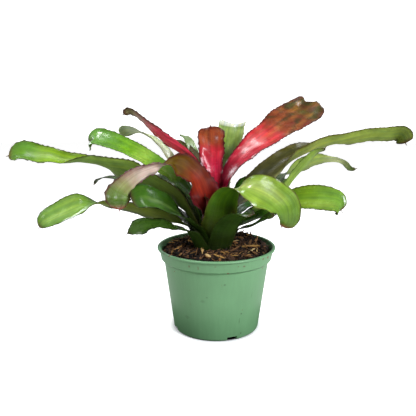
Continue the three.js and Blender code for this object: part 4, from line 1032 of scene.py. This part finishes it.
def build_stem():
    """The stem, where the frame has it, with rings of old leaf scars."""
    low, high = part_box("stem")
    centre = Vector(((low[0] + high[0]) / 2, (low[1] + high[1]) / 2, 0))
    radius = (high[0] - low[0]) / 2 / MM
    bottom, top = low[2] / MM, high[2] / MM
    outline = [(0.4, bottom), (radius - 1, bottom), (radius, bottom + 1)]
    for scar in range(STEM_SCARS):
        height = bottom + 2 + (top - bottom - 8) * scar / STEM_SCARS
        outline += [(radius, height), (radius - 0.5, height + 0.5), (radius - 0.1, height + 1.4)]
    outline += [(radius - 1, top - 4), (radius - 3, top - 1), (0.4, top)]
    stem = turned(outline, sides=32)
    stem.data.transform(Matrix.Translation(centre))
    smooth_faces(stem, degrees=40)
    finish_piece(stem, "stem_core", "stem_wood", ["stem"], stem_material())


# ---------------------------------------------------------------- leaves

def curve_point(points, at):
    """A point of the smooth line through the given points, at from 0 to 1."""
    place = (len(points) - 1) * at
    index = min(int(place), len(points) - 2)
    weight = place - index
    one, two = points[index], points[index + 1]
    before = points[index - 1] if index > 0 else one + (one - two)
    after = points[index + 2] if index + 2 < len(points) else two + (two - one)
    gaps = [(b - a).length_squared ** 0.25 for a, b in ((before, one), (one, two), (two, after))]
    start = ((one - before) / gaps[0] - (two - before) / (gaps[0] + gaps[1])
             + (two - one) / gaps[1]) * gaps[1]
    end = ((two - one) / gaps[1] - (after - one) / (gaps[1] + gaps[2])
           + (after - two) / gaps[2]) * gaps[1]
    square, cube = weight ** 2, weight ** 3
    return (one + start * weight + (3 * (two - one) - 2 * start - end) * square
            + (2 * (one - two) + start + end) * cube)


class Midrib:
    """A leaf's midrib, read by the share of its length."""

    def __init__(self, leaf):
        heading = math.radians(leaf["heading"])
        self.outward = Vector((math.cos(heading), math.sin(heading), 0))
        self.leftward = Vector((-self.outward.y, self.outward.x, 0))
        sheath = [(radius + step * leaf["ring"], height)
                  for radius, step, height in zip(SHEATH_RADII, SHEATH_STEPS, SHEATH_HEIGHTS)]
        route = [(*point, 0)[:3] for point in sheath + leaf["route"]]
        points = [PLANT + self.outward * out + self.leftward * drift + Vector((0, 0, up))
                  for out, up, drift in route]
        self.samples = [curve_point(points, step / MIDRIB_STEPS) for step in range(MIDRIB_STEPS + 1)]
        self.lengths = [0.0]
        for before, after in zip(self.samples, self.samples[1:]):
            self.lengths.append(self.lengths[-1] + (after - before).length)
        self.length = self.lengths[-1]

    def at(self, share):
        """The point and the direction at a share of the length."""
        target = share * self.length
        index = min(max(bisect.bisect_left(self.lengths, target), 1), len(self.samples) - 1)
        before, after = self.samples[index - 1], self.samples[index]
        weight = (target - self.lengths[index - 1]) / (self.lengths[index] - self.lengths[index - 1])
        low, high = max(index - 3, 0), min(index + 2, len(self.samples) - 1)
        return before.lerp(after, weight), (self.samples[high] - self.samples[low]).normalized()


def row_shares(leaf, length, row_spacing):
    """Shares of the length that get a row of points, closer together round the tip."""
    tip = leaf["width"] + MUCRO_LENGTH
    body = 1 - tip / length
    rows = max(BLADE_LEAST_ROWS, round((length - tip) / row_spacing))
    shares = [body * row / rows for row in range(rows)]
    for row in range(TIP_ROWS + 1):
        round_in = math.sin(math.pi / 2 * row / TIP_ROWS * 0.995)
        shares.append(body + (1 - body) * round_in * leaf["width"] / tip)
    shares += [1 - MUCRO_LENGTH * 0.5 / length, 1.0]
    return shares


def half_width(leaf, share, length, reach):
    """Half the blade's width: its girth, rounded off at the tip, down to the small point on it."""
    to_tip = ((1 - share) * length - MUCRO_LENGTH) / leaf["width"]
    if to_tip <= 0:
        return MUCRO_HALF_WIDTH * (0.2 + 0.8 * (1 - share) * length / MUCRO_LENGTH)
    half = leaf["width"] * along(leaf["girth"], share)
    if to_tip < 1:
        half *= (1 - (1 - to_tip) ** leaf["square"]) ** (1 / leaf["square"])
    return max(MUCRO_HALF_WIDTH, min(half, reach * math.radians(leaf["wrap"])))


def blade_rows(leaf, midrib, settings):
    """For each row of the blade, its share, frame, half width and channel."""
    neck = SHEATH_RADII[2] + SHEATH_STEPS[2] * leaf["ring"]
    rows = []
    for share in row_shares(leaf, midrib.length, settings.row_spacing / MM):
        centre, tangent = midrib.at(share)
        level = (midrib.leftward - tangent * midrib.leftward.dot(tangent)).normalized()
        face = tangent.cross(level)
        reach = (centre - PLANT).xy.length
        freed = smooth(neck, neck + leaf.get("release", SHEATH_RELEASE), reach)
        roll = math.radians(along(leaf["roll"], share)) * freed
        roll += math.radians(along(leaf.get("twist", [(0, 0)]), share)) * freed
        across = level * math.cos(roll) + face * math.sin(roll)
        normal = face * math.cos(roll) - level * math.sin(roll)
        half = half_width(leaf, share, midrib.length, reach)
        folded = along(leaf["fold"], share) + along(leaf.get("crease", [(0, 0)]), share)
        channel = math.radians(folded) * min(1.0, half / leaf["width"])
        fold = half / reach * (1 - freed) + channel * freed
        sag = (midrib.outward * (freed - 1) + normal * freed).normalized()
        rows.append((share, centre, tangent, across, sag, half, max(fold, 1e-3)))
    return rows


def blade_point(row, side, scale, tooth):
    """A point of the blade's middle sheet and the way its face looks; side runs from -1 to 1."""
    share, centre, tangent, across, sag, half, fold = row
    turn = fold * side
    out = half * scale + tooth * (abs(side) == 1)
    point = centre + across * (out * math.sin(turn) / fold) + sag * (out * (1 - math.cos(turn)) / fold)
    return point, tangent.cross(across * math.cos(turn) + sag * math.sin(turn)).normalized()


def colour_of(code):
    """A hex colour as a vector, so that it can be blended."""
    return Vector(linear(code)[:3])


def paint(leaf, face, share, side, half, length):
    """Colour of a blade's face: its stops, bands and mottle, darker to the margin, dry at the tip."""
    colour = along([(place, colour_of(code)) for place, code in leaf[face]], share)
    for painted, middle, spread, code, strength, start, end in leaf.get("bands", ()):
        if painted == face:
            there = smooth(start, start + 0.1, share) * (1 - smooth(end - 0.1, end, share))
            weight = strength * there * math.exp(-((side - middle) / spread) ** 2)
            colour = colour.lerp(colour_of(code), weight)
    for layer, (code, strength, start) in enumerate(leaf.get("mottle", ())):
        if face == "upper":
            spot = Vector((share * length / 15, side * half / 9, leaf["heading"] + 7 * layer))
            cloud = noise.noise(spot)
            there = smooth(-0.1, 0.35, cloud) * smooth(start - 0.04, start + 0.08, share)
            colour = colour.lerp(colour_of(code), strength * there)
    from_edge = half * (1 - abs(side))
    margin = 1 - smooth(0.2, leaf.get("rim", EDGE_RIM), from_edge)
    colour = colour.lerp(colour_of(leaf["edge"]), 0.85 * margin)
    colour = colour.lerp(colour_of(leaf["edge"]), 0.2 * (1 - smooth(0, 7, from_edge)))
    dry = 1 - smooth(3, 10, (1 - share) * length)
    return colour.lerp(colour_of(leaf.get("tip", TIP_COLOUR)), 0.9 * dry)


def build_leaf(leaf, settings, materials):
    """One blade: a grid laid along the midrib, coloured on both faces and given its thickness."""
    midrib = Midrib(leaf)
    rows = blade_rows(leaf, midrib, settings)
    deselect()
    bpy.ops.mesh.primitive_grid_add(x_subdivisions=BLADE_COLUMNS, y_subdivisions=len(rows) - 1, size=2,
                                    calc_uvs=True)
    blade = bpy.context.object
    mesh = blade.data
    thick = blade.vertex_groups.new(name="thick")
    tints = {"upper": [], "lower": []}
    uv_of = []
    rng = random.Random(leaf["ring"] * 1000 + leaf["heading"])
    seed = rng.uniform(0, 100)
    lean = [(place, Vector(offset)) for place, *offset in leaf.get("lean", [(0, 0, 0, 0)])]
    crowding = math.pi / 2 * COLUMN_CROWDING
    for vertex in mesh.vertices:
        number = round((vertex.co.y + 1) / 2 * (len(rows) - 1))
        even = -round(vertex.co.x * BLADE_COLUMNS / 2) / (BLADE_COLUMNS / 2)
        side = max(-1.0, min(1.0, math.sin(even * crowding) / math.sin(crowding)))
        share, _, tangent, across, _, half, _ = rows[number]
        travelled = share * midrib.length
        blade_part = smooth(TOOTH_START, TOOTH_START + 0.05, share)
        blade_part *= smooth(1, 8, (1 - share) * midrib.length)
        waviness = leaf.get("ripple", 1)
        tooth = 0
        if number % TOOTH_EVERY == 1 and abs(side) == 1:
            tooth = settings.tooth_length / MM * leaf.get("spines", 1) * blade_part
            tooth *= rng.uniform(*TOOTH_DRAW)
        wander = MARGIN_WANDER * noise.noise(Vector((travelled / 8, side * 5, seed + 3)))
        wander *= blade_part
        wander *= waviness
        fuller = along(leaf.get("left" if side > 0 else "right", [(0, 1)]), share)
        point, out_of_face = blade_point(rows[number], side, 1 + (fuller - 1) * abs(side), tooth + wander)
        ripple = noise.noise(Vector((travelled / 17, side * 1.4, seed)))
        wave = noise.noise(Vector((travelled / 11, side * 4, seed + 9))) * abs(side) ** 3
        point += out_of_face * (BLADE_RIPPLE * ripple + MARGIN_WAVE * wave) * blade_part * waviness
        # The tip is slanted, notched and bent down, and then the whole blade leans.
        end_part = 1 - smooth(0, 1, ((1 - share) * midrib.length - MUCRO_LENGTH) / leaf["width"])
        point += across * leaf.get("skew", 0) * leaf["width"] * end_part ** 2
        for middle, spread, depth in leaf.get("bites", ()):
            off = (half * side / leaf["width"] - middle) / spread
            point -= tangent * depth * math.exp(-off * off) * end_part
        point -= out_of_face * leaf.get("droop", TIP_DROOP) * leaf["width"] * end_part ** 2
        point += along(lean, share)
        vertex.co = point * MM
        for face, colours in tints.items():
            colour = paint(leaf, face, share, side, half, midrib.length)
            if tooth:
                colour = colour.lerp(colour_of(TOOTH_COLOUR), 0.9)
            colours.extend((*colour, 1))
        # Thickest at the midrib and at the sheath, thin at the margins.
        body = (1 - abs(side) ** 2.5) * (0.55 + 0.45 * (1 - smooth(0, 0.5, share)))
        thick.add([vertex.index], body, "REPLACE")
        uv_of.append((0.5 + side / 2, travelled / 100))
    for face, colours in tints.items():
        tint = mesh.color_attributes.new(face + "_tint", "FLOAT_COLOR", "POINT")
        tint.data.foreach_set("color", colours)
    layer = mesh.uv_layers[0]
    for loop in mesh.loops:
        layer.data[loop.index].uv = uv_of[loop.vertex_index]
    for material in materials:
        mesh.materials.append(material)
    add_modifier(blade, "SOLIDIFY", thickness=settings.thickness, offset=0, vertex_group="thick",
                 thickness_vertex_group=0.35, material_offset=1, material_offset_rim=1)
    smooth_faces(blade, degrees=50)
    finish_piece(blade, leaf["name"] + "_blade", leaf["slot"], [leaf["name"]])


def build_leaves(settings):
    """All leaves, each with the finishes of its skin."""
    faces = {name: leaf_material(name, **finish) for name, finish in FINISHES.items()}
    for leaf in LEAVES:
        build_leaf(leaf, settings, [faces[name] for name in SKINS[leaf.get("skin", "green")]])


# ---------------------------------------------------------------- stage

def stage_piece(name, material):
    """Names the stage piece that was just added, and gives it its material."""
    piece = bpy.context.object
    piece.name = name
    piece.data.materials.append(material)
    return piece


def hide_from_part(ground):
    """Keeps a lit ground from washing out the part: neither its light nor its reflection reaches it."""
    ground.visible_diffuse = False
    ground.visible_glossy = False


def area_light(name, place, size, power, colour):
    """A square softbox that looks at the plant and isn't seen itself."""
    light = bpy.data.lights.new(name, "AREA")
    light.size = size
    light.energy = power
    light.color = linear(colour)[:3]
    lamp = bpy.data.objects.new(name, light)
    lamp.location = place
    lamp.visible_camera = False
    lamp.rotation_euler = (Vector(LIGHTS_AIM) - Vector(place)).to_track_quat("-Z", "Y").to_euler()
    bpy.context.scene.collection.objects.link(lamp)


def white_room(settings):
    """A dim white room above, and the light that the bright white table sends up from below."""
    world = bpy.data.worlds.new("white_room")
    world.use_nodes = True
    tree = world.node_tree
    tree.nodes.clear()
    place = add_node(tree, "TexCoord")
    split = add_node(tree, "SeparateXYZ", {"Vector": place.outputs["Generated"]})
    light = add_node(tree, "MapRange", {"Value": split.outputs["Z"], "From Min": -0.35, "From Max": 0.1,
                                        "To Min": settings.table_strength,
                                        "To Max": settings.sky_strength}, interpolation_type="SMOOTHSTEP")
    room = add_node(tree, "Background", {"Color": (1, 1, 1, 1), "Strength": light})
    add_node(tree, "OutputWorld", {"Surface": room})
    bpy.context.scene.world = world
    bpy.context.scene.view_settings.view_transform = "Standard"


def build_stage(settings):
    """The lit floor, the card under the pot, the backdrop, the room, the softboxes and the camera."""
    size = settings.floor_size
    deselect()
    bpy.ops.mesh.primitive_grid_add(x_subdivisions=2, y_subdivisions=2, size=size)
    hide_from_part(stage_piece("studio_floor", floor_material(settings)))
    # The card, just under the floor, keeps the table's light off the underside of the pot.
    deselect()
    bpy.ops.mesh.primitive_circle_add(vertices=64, radius=settings.card_radius, fill_type="NGON",
                                      location=(0, 0, -1 * MM))
    stage_piece("shading_card", card_material())
    # The backdrop goes all the way round, and lets the light of the room through.
    deselect()
    bpy.ops.mesh.primitive_cylinder_add(vertices=96, radius=size / 2, depth=size / 2,
                                        end_fill_type="NOTHING", location=(0, 0, size / 4))
    backdrop = stage_piece("studio_backdrop", backdrop_material())
    hide_from_part(backdrop)
    backdrop.visible_shadow = False
    white_room(settings)
    for name, (place, width, power, share, colour) in SOFTBOXES.items():
        area_light(name, place, width, share * getattr(settings, power), colour)
    camera = bpy.data.cameras.new("camera")
    camera.sensor_width = CAMERA_SENSOR
    camera.lens = CAMERA_LENS
    camera.clip_end = CAMERA_REACH
    holder = bpy.data.objects.new("camera", camera)
    holder.location = CAMERA_PLACE
    holder.rotation_euler = (math.radians(CAMERA_PITCH), 0, 0)
    bpy.context.scene.collection.objects.link(holder)
    bpy.context.scene.camera = holder


# ---------------------------------------------------------------- settings, operators, panel

class PotSettings(bpy.types.PropertyGroup):
    colour: FloatVectorProperty(name="Plastic", description="Colour of the moulded plastic",
                                subtype="COLOR", size=3, min=0, max=1, default=linear("74A676")[:3])


class LeafSettings(bpy.types.PropertyGroup):
    thickness: FloatProperty(name="Thickness", description="Thickness of a blade at its midrib",
                             unit="LENGTH", default=1.3 * MM, min=0.3 * MM)
    tooth_length: FloatProperty(name="Tooth length", description="How far a marginal tooth stands out",
                                unit="LENGTH", default=0.6 * MM, min=0)
    row_spacing: FloatProperty(name="Row spacing", description="Distance between rows along a blade",
                               unit="LENGTH", default=2.2 * MM, min=0.5 * MM)


class BarkSettings(bpy.types.PropertyGroup):
    chip_count: IntProperty(name="Chips", description="Number of bark chips", default=620, min=0)
    fibre_count: IntProperty(name="Fibres", description="Number of long bark fibres", default=760, min=0)
    sliver_count: IntProperty(name="Slivers", description="Number of pale wood slivers", default=36, min=0)
    seed: IntProperty(name="Seed", description="Start of the random draw that strews the bark", default=11)


class StageSettings(bpy.types.PropertyGroup):
    floor_size: FloatProperty(name="Floor", description="Width of the floor and of the backdrop round it",
                              unit="LENGTH", default=8)
    floor_colour: FloatVectorProperty(name="Floor colour", description="Colour of the floor's acrylic",
                                      subtype="COLOR", size=3, min=0, max=1,
                                      default=linear("F4F4F4")[:3])
    key_power: FloatProperty(name="Key", description="Power of the softbox above",
                             unit="POWER", default=4.55)
    fill_power: FloatProperty(name="Fill", description="Power of the right softbox; the left has 30% of it",
                              unit="POWER", default=19)
    rim_power: FloatProperty(name="Rim", description="Power of each softbox behind",
                             unit="POWER", default=4)
    sky_strength: FloatProperty(name="Room", description="Strength of the white room above", default=0.34)
    table_strength: FloatProperty(name="Table", description="Strength of the light the table sends up",
                                  default=0.75)
    card_radius: FloatProperty(name="Card", description="Radius of the grey card under the pot",
                               unit="LENGTH", default=0.11)
    under_light: FloatProperty(name="Under light", description="Strength of the light through the floor",
                               default=0.75)


class BROMELIAD_OT_pot(bpy.types.Operator):
    """Build the nursery pot with its lip, band, foot ring, notches and drain holes"""
    bl_idname = "bromeliad.pot"
    bl_label = "Build Pot"

    def execute(self, context):
        build_pot(context.scene.bromeliad_pot)
        return {"FINISHED"}


class BROMELIAD_OT_soil(bpy.types.Operator):
    """Fill the pot with bark mix"""
    bl_idname = "bromeliad.soil"
    bl_label = "Build Soil"

    def execute(self, context):
        build_soil()
        return {"FINISHED"}


class BROMELIAD_OT_bark(bpy.types.Operator):
    """Strew bark chips, fibres and wood slivers on the soil"""
    bl_idname = "bromeliad.bark"
    bl_label = "Strew Bark"

    def execute(self, context):
        build_bark(context.scene.bromeliad_bark)
        return {"FINISHED"}


class BROMELIAD_OT_stem(bpy.types.Operator):
    """Build the short stem inside the sheaths"""
    bl_idname = "bromeliad.stem"
    bl_label = "Build Stem"

    def execute(self, context):
        build_stem()
        return {"FINISHED"}


class BROMELIAD_OT_leaves(bpy.types.Operator):
    """Build every leaf of the rosette"""
    bl_idname = "bromeliad.leaves"
    bl_label = "Build Leaves"

    def execute(self, context):
        build_leaves(context.scene.bromeliad_leaf)
        return {"FINISHED"}


class BROMELIAD_OT_stage(bpy.types.Operator):
    """Set the floor, the light and the camera"""
    bl_idname = "bromeliad.stage"
    bl_label = "Set Stage"

    def execute(self, context):
        build_stage(context.scene.bromeliad_stage)
        return {"FINISHED"}


class BROMELIAD_PT_panel(bpy.types.Panel):
    """The settings and steps of the potted bromeliad"""
    bl_idname = "BROMELIAD_PT_panel"
    bl_label = "Potted Neoregelia"
    bl_space_type = "VIEW_3D"
    bl_region_type = "UI"
    bl_category = "Bromeliad"

    def draw(self, context):
        for name in GROUPS:
            group = getattr(context.scene, name)
            box = self.layout.box()
            for key in group.bl_rna.properties.keys():
                if key not in ("rna_type", "name"):
                    box.prop(group, key)
        for step in STEPS:
            self.layout.operator(step.bl_idname)


STEPS = (BROMELIAD_OT_stage, BROMELIAD_OT_pot, BROMELIAD_OT_soil, BROMELIAD_OT_bark, BROMELIAD_OT_stem,
         BROMELIAD_OT_leaves)
GROUPS = {"bromeliad_pot": PotSettings, "bromeliad_leaf": LeafSettings, "bromeliad_bark": BarkSettings,
          "bromeliad_stage": StageSettings}


def register():
    for item in (*GROUPS.values(), *STEPS, BROMELIAD_PT_panel):
        bpy.utils.register_class(item)
    for name, group in GROUPS.items():
        setattr(bpy.types.Scene, name, PointerProperty(type=group))


def unregister():
    for name in GROUPS:
        delattr(bpy.types.Scene, name)
    for item in reversed((*GROUPS.values(), *STEPS, BROMELIAD_PT_panel)):
        bpy.utils.unregister_class(item)


def main():
    register()
    bpy.ops.bromeliad.stage()
    bpy.ops.bromeliad.pot()
    bpy.ops.bromeliad.soil()
    bpy.ops.bromeliad.bark()
    bpy.ops.bromeliad.stem()
    bpy.ops.bromeliad.leaves()


if __name__ == "__main__":
    main()
